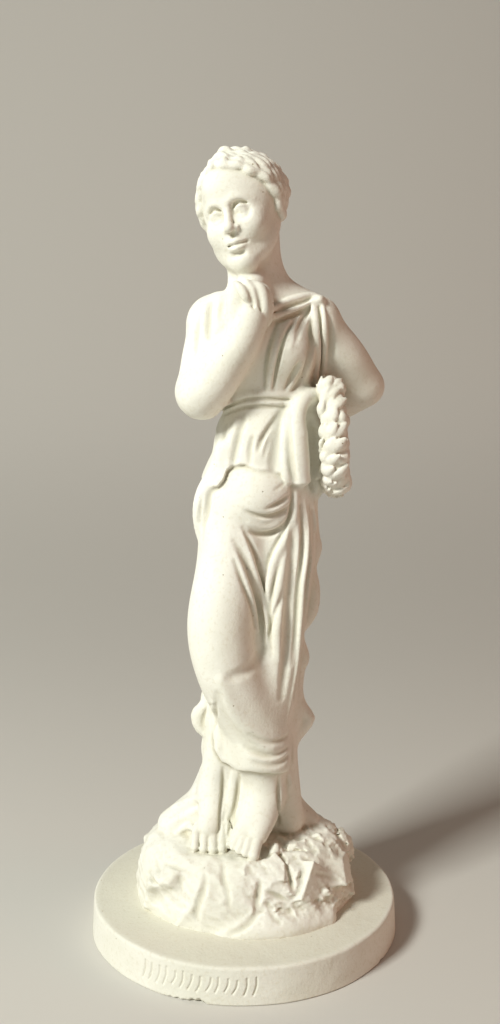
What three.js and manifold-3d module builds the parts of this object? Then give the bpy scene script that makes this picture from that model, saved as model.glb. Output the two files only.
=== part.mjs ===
// A small draped goddess figure, cast in plaster as one piece with the rock she stands on and a
// round foot. Millimetres, +Z up, the origin at the middle of the underside, and she faces -Y.
import * as THREE from "three";
import { triTable } from "three/addons/objects/MarchingCubes.js";
import Module from "manifold-3d";

// Driving sizes.
const OVERALL_HEIGHT = 300; // underside of the foot to the top of the hair
const FOOT_DIAMETER = 121; // at the underside; the rim leans in above it, as it left the mould
const FOOT_THICKNESS = 14;
const FOOT_DRAFT = 0.8; // how far the rim leans in
const FOOT_EDGE_ROUNDING = 1.2; // the worn edge between the rim and the top
const FOOT_SEGMENTS = 72;
const ROCK_SINK = 0.6; // the rock runs this far into the foot, so that the two are one casting

// The figure is a free form, so its pose and carving are kept as a sketch: x, y, z and thickness
// in the units of a 300 mm figure, with the top of the foot at SKETCH_GROUND.
const SKETCH_GROUND = 14;
const CLAY_STEP = 1.2; // spacing of the points on which the clay is kept
const FIGURE_TRIANGLES = 9000;

const up = (a, b) => Math.max(a, b);
const mix = (a, b, t) => a + (b - a) * t;

// Forms. Each has the box that it fills and at(x, y, z), the distance to its skin, below 0 inside.
function ball(centre, radius) {
  return egg(centre, [radius, radius, radius]);
}

// An egg with three half-widths, turned by a THREE.Matrix4 where it is given one.
function egg(centre, radii, turn = new THREE.Matrix4()) {
  const reach = Math.max(...radii);
  const back = new THREE.Matrix4().extractRotation(turn).transpose().elements;
  const [rx, ry, rz] = radii;
  return {
    low: centre.map((c) => c - reach),
    high: centre.map((c) => c + reach),
    at(x, y, z) {
      const dx = x - centre[0];
      const dy = y - centre[1];
      const dz = z - centre[2];
      const u = back[0] * dx + back[4] * dy + back[8] * dz;
      const v = back[1] * dx + back[5] * dy + back[9] * dz;
      const w = back[2] * dx + back[6] * dy + back[10] * dz;
      const near = Math.hypot(u / rx, v / ry, w / rz);
      const steep = Math.hypot(u / (rx * rx), v / (ry * ry), w / (rz * rz));
      return steep > 1e-9 ? (near * (near - 1)) / steep : -Math.min(rx, ry, rz);
    },
  };
}

// Points between the given [x, y, z, thickness] stations, on a smooth curve through them.
function smooth(stations, spacing = 3) {
  if (stations.length < 3) return stations;
  const line = new THREE.CatmullRomCurve3(
    stations.map(([x, y, z]) => new THREE.Vector3(x, y, z)),
    false,
    "centripetal",
  );
  const spans = stations.length - 1;
  const points = [];
  for (let i = 0; i < spans; i++) {
    const [x0, y0, z0, r0] = stations[i];
    const [x1, y1, z1, r1] = stations[i + 1];
    const steps = up(1, Math.round(Math.hypot(x1 - x0, y1 - y0, z1 - z0) / spacing));
    for (let k = 0; k < steps; k++) {
      const t = k / steps;
      const p = line.getPoint((i + t) / spans);
      points.push([p.x, p.y, p.z, mix(r0, r1, t * t * (3 - 2 * t))]);
    }
  }
  points.push(stations[spans]);
  return points;
}

// A roll of clay through the stations, round, or flattened along flat.along to flat.share.
function limb(stations, flat = null) {
  const points = smooth(stations);
  const r = Math.max(...points.map((p) => p[3]));
  const low = [0, 1, 2].map((k) => Math.min(...points.map((p) => p[k])) - r);
  const high = [0, 1, 2].map((k) => Math.max(...points.map((p) => p[k])) + r);
  const squeeze = flat ? 1 / flat.share - 1 : 0;
  const [nx, ny, nz] = flat ? flat.along : [0, 0, 0];
  return {
    low,
    high,
    at(x, y, z) {
      let best = 1e9;
      for (let i = 0; i + 1 < points.length; i++) {
        const [ax, ay, az, ar] = points[i];
        const [bx, by, bz, br] = points[i + 1];
        const dx = bx - ax;
        const dy = by - ay;
        const dz = bz - az;
        const along = ((x - ax) * dx + (y - ay) * dy + (z - az) * dz) / (dx * dx + dy * dy + dz * dz);
        const t = Math.min(1, up(0, along));
        let qx = x - ax - t * dx;
        let qy = y - ay - t * dy;
        let qz = z - az - t * dz;
        const push = (qx * nx + qy * ny + qz * nz) * squeeze;
        qx += nx * push;
        qy += ny * push;
        qz += nz * push;
        best = Math.min(best, Math.sqrt(qx * qx + qy * qy + qz * qz) - mix(ar, br, t));
      }
      return best;
    },
  };
}

// Clay kept as distances on a grid: forms are added or carved in turn, with a soft join.
class Clay {
  constructor(low, high, step) {
    this.low = low;
    this.step = step;
    this.n = [0, 1, 2].map((k) => Math.ceil((high[k] - low[k]) / step) + 1);
    this.row = this.n[0];
    this.sheet = this.n[0] * this.n[1];
    this.value = new Float32Array(this.sheet * this.n[2]).fill(1e3);
  }

  // Calls change(index, distance) at each grid point in or near the form.
  reach(form, margin, change) {
    const from = form.low.map((c, k) => up(0, Math.floor((c - margin - this.low[k]) / this.step)));
    const to = form.high.map((c, k) =>
      Math.min(this.n[k] - 1, Math.ceil((c + margin - this.low[k]) / this.step)),
    );
    for (let k = from[2]; k <= to[2]; k++)
      for (let j = from[1]; j <= to[1]; j++)
        for (let i = from[0]; i <= to[0]; i++) {
          const index = k * this.sheet + j * this.row + i;
          change(
            index,
            form.at(
              this.low[0] + i * this.step,
              this.low[1] + j * this.step,
              this.low[2] + k * this.step,
            ),
          );
        }
  }

  add(form, blend = 1) {
    const v = this.value;
    this.reach(form, blend + 3 * this.step, (i, d) => {
      const soft = up(blend - Math.abs(v[i] - d), 0) / blend;
      v[i] = Math.min(v[i], d) - (soft * soft * blend) / 4;
    });
  }

  carve(form, blend = 1) {
    const v = this.value;
    this.reach(form, blend + 3 * this.step, (i, d) => {
      const soft = up(blend - Math.abs(v[i] + d), 0) / blend;
      v[i] = up(v[i], -d) + (soft * soft * blend) / 4;
    });
  }

  // Thickens the skin by amount(x, y, z) inside a box.
  swell(low, high, amount) {
    this.reach({ low, high, at: (x, y, z) => amount(x, y, z) }, 0, (i, a) => {
      this.value[i] -= a;
    });
  }

  at(x, y, z) {
    const f = [x, y, z].map((c, k) =>
      Math.min(this.n[k] - 1.001, up(0, (c - this.low[k]) / this.step)),
    );
    const [i, j, k] = f.map(Math.floor);
    const [u, v, w] = [f[0] - i, f[1] - j, f[2] - k];
    const q = this.value;
    const line = (o) => mix(q[o], q[o + 1], u);
    const o = k * this.sheet + j * this.row + i;
    return mix(
      mix(line(o), line(o + this.row), v),
      mix(line(o + this.sheet), line(o + this.sheet + this.row), v),
      w,
    );
  }

  // The point of the skin that is seen from a side at height z, a distance across from the axis,
  // and the way the skin faces there. Side 0 is the front, 90 the figure's left, 180 the back.
  touch(side, across, z) {
    const a = THREE.MathUtils.degToRad(side);
    const out = [Math.sin(a), -Math.cos(a)];
    const [mx, my] = [Math.cos(a) * across, Math.sin(a) * across];
    let far = 70;
    let was = 1e3;
    while (far > -40) {
      const now = this.at(mx + out[0] * far, my + out[1] * far, z);
      if (now < 0) {
        far += (this.step / 2) * (now / (now - Math.min(was, 2)));
        break;
      }
      was = now;
      far -= this.step / 2;
    }
    const p = [mx + out[0] * far, my + out[1] * far, z];
    const e = this.step;
    const g = [0, 1, 2].map((k) => {
      const d = [0, 0, 0];
      d[k] = e;
      return (
        this.at(p[0] + d[0], p[1] + d[1], p[2] + d[2]) -
        this.at(p[0] - d[0], p[1] - d[1], p[2] - d[2])
      );
    });
    const size = Math.hypot(...g) || 1;
    return { p, n: g.map((c) => c / size) };
  }

  // Stations along a line drawn on the skin from a side, sunk below it or lifted off it.
  drawn(side, line, radius, above) {
    const flat = smooth(line.map(([across, z]) => [across, z, 0, 0]), 2.5);
    return flat.map(([across, z], i) => {
      const t = i / (flat.length - 1);
      const thin = Math.sqrt(up(0.04, Math.sin(Math.PI * Math.min(1, up(0, t)))));
      const { p, n } = this.touch(side, across, z);
      const r = radius * mix(0.45, 1, thin);
      const off = above * thin - Math.sign(above) * r;
      return [p[0] + n[0] * off, p[1] + n[1] * off, p[2] + n[2] * off, r];
    });
  }

  // A rounded fold that stands proud of the skin along the line.
  fold(side, line, radius = 2, proud = 1.2, blend = 1.6) {
    this.add(limb(this.drawn(side, line, radius, proud)), blend);
  }

  // A groove pressed into the skin along the line.
  groove(side, line, radius = 1.2, deep = 1, blend = 1) {
    this.carve(limb(this.drawn(side, line, radius, -deep)), blend);
  }

  // The skin of the clay as points and triangles, from three's own marching cubes table.
  skin() {
    const corners = [
      [0, 0, 0], [1, 0, 0], [1, 1, 0], [0, 1, 0], [0, 0, 1], [1, 0, 1], [1, 1, 1], [0, 1, 1],
    ];
    const edges = [
      [0, 1], [1, 2], [3, 2], [0, 3], [4, 5], [5, 6], [7, 6], [4, 7], [0, 4], [1, 5], [2, 6],
      [3, 7],
    ];
    const offsets = corners.map(([i, j, k]) => k * this.sheet + j * this.row + i);
    const points = [];
    const faces = [];
    const made = new Map();
    const v = this.value;
    const cornerPoint = (index) => [
      this.low[0] + (index % this.row) * this.step,
      this.low[1] + (Math.floor(index / this.row) % this.n[1]) * this.step,
      this.low[2] + Math.floor(index / this.sheet) * this.step,
    ];
    const edgePoint = (base, e) => {
      const a = base + offsets[edges[e][0]];
      const b = base + offsets[edges[e][1]];
      const axis = e > 7 ? 2 : e % 2;
      const key = a * 3 + axis;
      if (!made.has(key)) {
        const t = Math.min(0.9, up(0.1, v[a] / (v[a] - v[b])));
        const [p, q] = [cornerPoint(a), cornerPoint(b)];
        made.set(key, points.length);
        points.push(p.map((c, k) => mix(c, q[k], t)));
      }
      return made.get(key);
    };
    for (let k = 0; k + 1 < this.n[2]; k++)
      for (let j = 0; j + 1 < this.n[1]; j++)
        for (let i = 0; i + 1 < this.n[0]; i++) {
          const base = k * this.sheet + j * this.row + i;
          let which = 0;
          for (let c = 0; c < 8; c++) if (v[base + offsets[c]] < 0) which |= 1 << c;
          if (which === 0 || which === 255) continue;
          for (let t = which * 16; triTable[t] !== -1; t += 3)
            faces.push([
              edgePoint(base, triTable[t]),
              edgePoint(base, triTable[t + 2]),
              edgePoint(base, triTable[t + 1]),
            ]);
        }
    return { points, faces };
  }
}

// A lump of broken rock: a solid with flat sides, set by the seed.
function rock(centre, radii, seed) {
  const planes = [];
  let s = seed * 7919 + 17;
  const random = () => {
    s = (s * 48271) % 2147483647;
    return s / 2147483647;
  };
  for (let i = 0; i < 13; i++) {
    const n = new THREE.Vector3(random() - 0.5, random() - 0.5, random() - 0.5).normalize();
    planes.push([n.x, n.y, n.z, 0.62 + 0.3 * random()]);
  }
  const least = Math.min(...radii);
  return {
    low: centre.map((c, k) => c - radii[k] * 1.2),
    high: centre.map((c, k) => c + radii[k] * 1.2),
    at(x, y, z) {
      const u = (x - centre[0]) / radii[0];
      const v = (y - centre[1]) / radii[1];
      const w = (z - centre[2]) / radii[2];
      let d = Math.hypot(u, v, w) - 1;
      for (const [a, b, c, h] of planes) d = up(d, a * u + b * v + c * w - h);
      return d * least;
    },
  };
}

// The rock under her feet: a steep oval drum with a nearly level top, before the broken lumps.
function mound() {
  return {
    low: [-52, -44, 0],
    high: [52, 44, 46],
    at(x, y, z) {
      const t = Math.min(1, up(0, (z - SKETCH_GROUND) / 26));
      const side = (Math.hypot(x / mix(43, 35, t ** 3), (y + 0.5) / mix(37.5, 29, t ** 3)) - 1) * 34;
      const top = up(z - 38.5 - 0.06 * (y + 10), SKETCH_GROUND - 4 - z);
      const soft = up(5 - Math.abs(side - top), 0) / 5;
      return up(side, top) + (soft * soft * 5) / 4;
    },
  };
}

// Height of the tunic's lower edge over the hips, lifted in scallops at the front.
function hemHeight(x, y) {
  const edge = [
    [-19, 177], [-12, 178], [-5, 185.5], [2, 185], [8, 183], [13, 182], [15.5, 179], [19, 177],
    [26, 178.5],
  ];
  if (y > 2) return 179 + 1.6 * Math.sin(x * 0.4);
  if (x <= edge[0][0]) return edge[0][1];
  for (let i = 1; i < edge.length; i++)
    if (x < edge[i][0])
      return mix(edge[i - 1][1], edge[i][1], (x - edge[i - 1][0]) / (edge[i][0] - edge[i - 1][0]));
  return edge[edge.length - 1][1];
}

function sculptRock(clay) {
  clay.add(mound(), 1);
  const lumps = [
    [[27, -17, 29], [13, 13, 13], 3], [[17, -25, 24], [12, 9, 12], 5], [[34, -6, 29], [9, 12, 12], 8],
    [[24, -14, 37], [11, 9, 6], 13], [[9, -28, 22], [10, 8, 10], 21], [[0, -29, 25], [9, 7, 10], 23],
    [
      [-12, -27, 24], [11, 8, 11], 2,
    ], [[-25, -20, 26], [13, 12, 12], 31], [[-33, -6, 25], [10, 14, 12], 37],
    [[-28, 16, 25], [13, 12, 12], 43], [[-12, 25, 25], [15, 9, 12], 47], [[9, 26, 24], [15, 9, 12], 53],
    [[27, 16, 26], [13, 12, 12], 59],
  ];
  for (const [centre, radii, seed] of lumps) clay.add(rock(centre, radii, seed), 1.5);
  clay.groove(0, [[-19, 33], [-18.5, 27], [-20, 19]], 2, 2.2, 2);
  clay.groove(0, [[9, 34], [11, 27], [8, 19]], 1.8, 1.8, 2);
  clay.groove(30, [[4, 34], [8, 27], [3, 20]], 2, 2, 2);
}

function sculptBody(clay) {
  // Hips, legs under the cloth, and the cloth that closes the back.
  clay.add(egg([7.6, 1, 183], [18.4, 14.6, 22]), 1);
  clay.add(limb([[6, 5, 178, 18], [5, 6, 150, 16], [4, 6, 110, 15.5], [2, 6, 70, 14]]), 5);
  clay.add(limb([
    [14, 1, 176, 13.5], [15, -2, 150, 12.5], [12, -4, 120, 11.5], [8, -4, 92, 12], [5, -5, 74, 11],
  ]), 5);
  clay.add(limb([
    [-3, -2, 176, 13], [-5, -8, 150, 12.6], [-8.6, -13, 126, 12.8], [-6, -14, 108, 12],
    [3, -10, 88, 12], [6.5, -9, 76, 11.5],
  ]), 4);
  clay.add(limb([[-2, 0, 170, 13], [-4, -2, 130, 12.5], [-3, 0, 90, 11]]), 5);
  clay.add(limb([
    [-2, 8, 176, 14], [-2, 6, 140, 14], [-1, 5, 104, 13.6], [-3, 7, 66, 12], [-5, 9, 42, 13.4],
  ], { along: [0, 1, 0], share: 0.62 }), 5);
  clay.add(limb([
    [12, 8, 176, 13], [11, 6, 140, 12.6], [9, 5, 104, 12.4], [7, 7, 66, 10.4], [9, 9, 42, 11.6],
  ], { along: [0, 1, 0], share: 0.62 }), 5);
  // Shins and feet.
  clay.add(limb([
    [-6, -3, 82, 8], [-10.5, -4, 66, 6.2], [-12, -4.5, 56, 5], [-13, -9, 48, 4.8],
    [-15.4, -19, 42.6, 4],
  ]), 3);
  clay.add(limb([[-11.5, -1, 56, 5], [-11, 2, 45, 5.4]]), 3);
  clay.add(limb([
    [6, -9, 80, 10], [8, -9, 66, 8.3], [8, -9.5, 56, 7.2], [6.5, -14, 50, 6.2],
    [3.2, -22.5, 42.6, 4.8],
  ]), 3);
  clay.add(limb([[9, -6, 56, 6.5], [9, 0, 45, 7]]), 3);
  // Cloth between and behind the shins, run out over the rock.
  clay.add(limb([[-2, -2, 84, 8], [-2, -4, 60, 6.5], [0, -5, 42, 7]]), 3);
  clay.add(limb([[14, -2, 80, 6], [16, -1, 62, 6], [17, 0, 42, 7]]), 3);
  clay.add(limb([[-11, 8, 62, 6], [-17, 8, 48, 6], [-24, 5, 43, 5.5], [-31, 2, 38, 4.5]]), 3);
  clay.add(limb([[14, 8, 60, 6], [18, 8, 46, 6], [26, 6, 39, 5]]), 3);
  clay.add(limb([[25, 1, 206, 6.5], [27, 1, 192, 6], [26, 1, 178, 6]]), 3);
  // Waist, chest, shoulders, neck.
  clay.add(limb([
    [8, 1, 200, 16.5], [9, 1, 209, 15.5], [8, 1, 220, 16.5], [7, 1, 232, 18],
  ], { along: [0, 1, 0], share: 0.8 }), 7);
  clay.add(egg([8, 1, 229], [19.5, 13.5, 19]), 4);
  clay.add(ball([16, -6, 228], 8.6), 6);
  clay.add(ball([0, -6, 228], 8), 6);
  clay.add(limb([[-12, 3, 239, 9], [0, 4, 243, 8], [14, 4, 243, 8], [27, 4, 240, 7.8]]), 5);
  clay.add(limb([[6, 4, 253, 8.5], [17, 4, 246.5, 7.5], [28, 4, 241.5, 6.5]]), 5);
  clay.add(limb([[1, 1, 268, 9], [3.5, 2.5, 258, 9.6], [6, 4, 244, 12]]), 3);
  // Her left arm, bent behind the waist.
  clay.add(limb([[28, 4, 239, 7.8], [39, 10, 226, 8.4], [47.5, 16, 215, 7.3]]), 4);
  clay.add(limb([[47, 16.5, 214, 7.6], [38, 20, 209, 8], [27, 20, 204, 7.5], [18, 19, 202, 7]]), 3);
  clay.add(limb([[30, 10, 226, 6], [27, 12, 212, 7]]), 4);
  // Her right arm, raised to the throat, with the loose fist.
  clay.add(limb([[-10, 2, 239, 10.2], [-12.6, -3, 226, 10.4], [-15.4, -9, 214.5, 9.2]]), 4);
  clay.add(limb([
    [-15.6, -11, 213, 9], [-10.5, -14.5, 221, 8.8], [-4, -18, 233, 7], [-0.4, -18.5, 241, 6],
  ]), 4);
  clay.add(egg([2.6, -16.5, 246], [7, 6.2, 8.4]), 3);
  clay.add(limb([[3, -8, 252, 6], [3, -8, 240, 7]]), 3);
}

function sculptHand(clay) {
  for (const [dx, dy, dz] of [[0, 0, 0], [-1.2, -2.6, -1.4], [-2.2, -4.6, -3.6]])
    clay.add(
      limb([
        [3 + dx, -17.5 + dy, 253 + dz, 2.4], [8 + dx, -17.5 + dy, 250 + dz, 2.5],
        [10.6 + dx, -16 + dy, 243.5 + dz, 2.4], [9 + dx, -14 + dy, 237.5 + dz, 2.2],
      ]),
      0.8,
    );
  clay.add(limb([[-0.6, -19.5, 246, 3], [-0.2, -21.5, 250, 2.6], [2, -22, 253, 2.1]]), 1);
}

function sculptHead(clay) {
  const turn = new THREE.Matrix4()
    .makeRotationZ(THREE.MathUtils.degToRad(-21))
    .multiply(new THREE.Matrix4().makeRotationY(THREE.MathUtils.degToRad(-14)))
    .multiply(new THREE.Matrix4().makeRotationX(THREE.MathUtils.degToRad(6)));
  const middle = new THREE.Vector3(-0.8, -1.5, 278.8);
  const place = ([x, y, z, ...rest]) => [
    ...new THREE.Vector3(x, y, z).applyMatrix4(turn).add(middle).toArray(), ...rest,
  ];
  const both = (make) => [-1, 1].forEach((s) => make(s));
  clay.add(egg(place([0, 2, 5]), [14, 16.5, 15.5], turn), 1);
  clay.add(egg(place([0, -3.5, -6]), [11.3, 12, 15], turn), 4);
  clay.add(ball(place([0, -11.6, -17.8]), 3.2), 4);
  both((s) => clay.add(limb([place([9 * s, 0, -9, 3.5]), place([2.5 * s, -10.5, -17.6, 2.8])]), 4));
  both((s) => clay.add(ball(place([6.6 * s, -10, -6.5]), 4.4), 4));
  clay.add(limb([
    [-8, -10.5, 1.8, 2], [-3, -13.5, 3.2, 2.2], [3, -13.5, 3.2, 2.2], [8, -10.5, 1.8, 2],
  ].map(place)), 2);
  both((s) => clay.carve(ball(place([5.2 * s, -16.4, -0.2]), 2.9), 2));
  both((s) => clay.add(ball(place([5.1 * s, -12.1, -0.4]), 2.6), 0.6));
  clay.add(limb([place([0, -14.4, 1.5, 1.3]), place([0, -18, -6, 1.9])]), 1.6);
  both((s) => clay.add(ball(place([1.8 * s, -15.8, -6.8]), 1.3), 1));
  clay.add(limb([
    [-3.6, -13.4, -11.6, 0.9], [0, -15.6, -11.1, 1.2], [3.6, -13.4, -11.6, 0.9],
  ].map(place)), 1);
  clay.add(limb([
    [-2.8, -13.6, -13.4, 0.9], [0, -15.1, -13.6, 1.4], [2.8, -13.6, -13.4, 0.9],
  ].map(place)), 1);
  // Hair: a cap open at the face, rolled curls round the brow, waves, and a low knot.
  clay.add(egg(place([0.8, 5.4, 5.6]), [16.6, 16.6, 16.6], turn), 1.5);
  const curls = [
    [0.6, -11.4, 14], [4.6, -11, 13], [8.4, -8.6, 10.8], [11.2, -5.6, 7.4], [12.8, -2.6, 3.2],
    [13.4, 0, -1.2], [13, 2.2, -5.4],
  ];
  for (const [x, y, z] of curls) both((s) => clay.add(ball(place([x * s, y, z]), 3.1), 0.8));
  for (const t of [-12, -7, -2.4, 2.4, 7, 12])
    clay.add(limb([
      [t * 0.8, -8, 17, 1.8], [t, 2, 22.4 - t * t * 0.04, 2], [t * 0.9, 13, 17.5, 2],
      [t * 0.5, 19, 8, 2],
    ].map(place)), 1.5);
  clay.add(ball(place([0, 20, -1]), 7), 2);
}

function sculptDress(clay) {
  const F = 0;
  // Sleeve and shoulder gathers on her right arm.
  clay.groove(F, [[-15, 243], [-16, 236], [-14, 229]], 1.2, 0.8);
  clay.groove(F, [[-10, 244], [-10, 238], [-12, 232]], 1.1, 0.7);
  // Neckline, pin and the two long falls from it.
  clay.fold(F, [[8, 239], [13.9, 240.4], [19.7, 242.9], [27, 246]], 1.8, 1.5);
  clay.fold(F, [[9, 235], [16.8, 237.6], [27, 243.5]], 1.5, 1);
  clay.fold(F, [[27.6, 246], [29, 232], [29.6, 217]], 1.7, 1.6);
  clay.fold(F, [[31, 245], [32.4, 232], [33, 219]], 1.6, 1.3);
  for (const line of [
    [[12.4, 233], [9.5, 221.6], [8.4, 213]], [[16, 232], [12.8, 220], [11.4, 213]],
    [[21.5, 235], [17.6, 222.6], [15.4, 212.5]], [[25.4, 236], [22.6, 224], [19, 213]],
  ])
    clay.groove(F, line, 1.4, 1.1, 1.4);
  // Belt, the tunic swelling out over the hips, and its folds.
  const t = 2.2;
  clay.swell([-30, -30, 170], [40, 30, 205], (x, y, z) =>
    x > 34 ? 0 : t * Math.min(1, up(0, (206 - z) / 6)) * (z > hemHeight(x, y) ? 1 : 0),
  );
  for (const side of [0, 180]) {
    const s = side ? -1 : 1;
    clay.fold(side, [[-9 * s, 211], [0, 210.6], [10 * s, 209.6], [26 * s, 207.4]], 2, 1.3, 1);
    clay.fold(side, [[-9 * s, 206.6], [0, 206.4], [10 * s, 205.4], [26 * s, 203]], 2, 1.3, 1);
  }
  for (const line of [
    [[-2, 204], [-3, 194], [-5, 186]], [[5, 203], [4.6, 194], [5, 186]],
    [[14, 202], [8, 192], [6, 186]], [[-9, 202], [-11, 192], [-12, 182]],
  ])
    clay.groove(F, line, 1.4, 1, 1.4);
  clay.add(limb([
    [27, -7, 211, 3.4], [21.5, -11.5, 208.5, 3.8], [18.8, -14, 200, 4], [19.8, -15, 190, 4.2],
    [22.5, -15, 180.5, 3.8],
  ]), 1.5);
  clay.groove(F, [[26, 206], [25.4, 198], [26, 188], [28, 180]], 2.6, 2.4, 1.5);
  clay.add(limb([
    [-7, -5, 190, 4.4], [-12.4, -5, 181, 5], [-15, -5, 171, 5.2], [-15.8, -4, 162, 4.2],
    [-14.6, -4, 155, 2.6],
  ]), 2);
  // The mantle: an apron over the belly, hanging folds under it, and the V between the thighs.
  clay.add(egg([6, -9, 174], [13.5, 11.5, 13]), 3);
  for (const line of [
    [[-5, 173.5], [2, 168.2], [8, 166], [13.5, 167.6], [18.5, 171.5]],
    [[-4, 167], [2.4, 162.7], [8, 160.8], [15, 165], [19.5, 172.5]],
  ])
    clay.groove(F, line, 1.4, 1.1, 1.4);
  for (const line of [
    [
      [-4.5, 164], [2, 156.4], [7.6, 144.7], [11, 130], [11.6, 119],
    ], [[14.4, 158.4], [11, 147.6], [12.6, 130]],
    [[0, 152], [3.6, 142], [7.6, 126.5]],
  ])
    clay.groove(F, line, 1.6, 1.5, 1.5);
  clay.fold(F, [[-15.5, 138], [-15.8, 117], [-7, 100], [-1.3, 90.2], [6.9, 78]], 1.8, 1.2, 2);
  clay.fold(F, [[-13, 80], [-8.2, 75.5], [2.4, 71.2], [10, 71], [17.6, 73]], 2, 1, 1.5);
  // Long ridges and the ruffled edge on her left side, and the flare behind her right knee.
  clay.fold(F, [[24, 170], [25.4, 148.6], [23, 117.7], [19.7, 94]], 1.8, 1.6, 1.5);
  clay.add(limb([
    [26, 2, 172, 3.4], [27.5, 2, 158, 3], [25, 2, 149, 3.4], [27, 2, 137, 3], [24, 2, 124, 3.2],
    [25, 2, 112, 3], [20.5, 2, 104, 3],
  ]), 2);
  clay.add(limb([[17, 2, 98, 4.4], [21.6, 2, 85, 5], [17, 2, 73, 4.4]]), 3);
  clay.add(limb([[16, -2, 70, 3.5], [17, -2, 62, 3.6], [16, -2, 54, 3.2]]), 2);
  clay.add(limb([
    [-14, 0, 96, 4], [-18.5, 0, 86, 4.2], [-15, 0, 77, 3.6], [-16, 0, 71, 3], [-14, 0, 60, 3.4],
  ]), 2);
  // Quieter, longer folds on the sides and the back.
  for (const [across, top, foot] of [
    [-17, 170, 52], [-11, 176, 50], [-4, 174, 48], [3, 176, 50], [10, 172, 48], [16, 166, 52],
  ])
    clay.groove(180, [
      [across, top], [across * 0.9 - 1, (top + foot) / 2], [across * 1.05, foot],
    ], 1.8, 1.5, 2);
  for (const [across, top, foot] of [[-14, 236, 214], [-6, 238, 213], [3, 236, 213]])
    clay.groove(180, [[across - 6, top], [across - 6, foot]], 1.4, 1, 1.5);
}

function sculptWreath(clay) {
  const ring = [
    [32.4, -7, 213, 4.6], [33.4, -11, 202, 5.2], [33.8, -11.5, 190, 5.6], [34.6, -6, 180, 5.6],
    [35, 4, 179, 5.2], [34, 11, 190, 5], [33, 10, 203, 4.8], [32, 3, 213.5, 4.6], [32.4, -7, 213, 4.6],
  ];
  clay.add(limb(ring), 1.5);
  const line = smooth(ring, 5.2);
  for (let i = 0; i + 1 < line.length; i++)
    for (const [side, lift] of [[-1, 0.75], [0, 1], [1, 0.75]]) {
      const [x, y, z, r] = line[i];
      const out = new THREE.Vector3(0, y + 1, z - 195).normalize();
      const c = [x + side * r * 0.75, y + out.y * r * lift * 0.8, z + out.z * r * lift * 0.8];
      clay.add(ball(c, 2.1 + 0.3 * ((i + side) % 2)), 0.5);
    }
}

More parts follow.
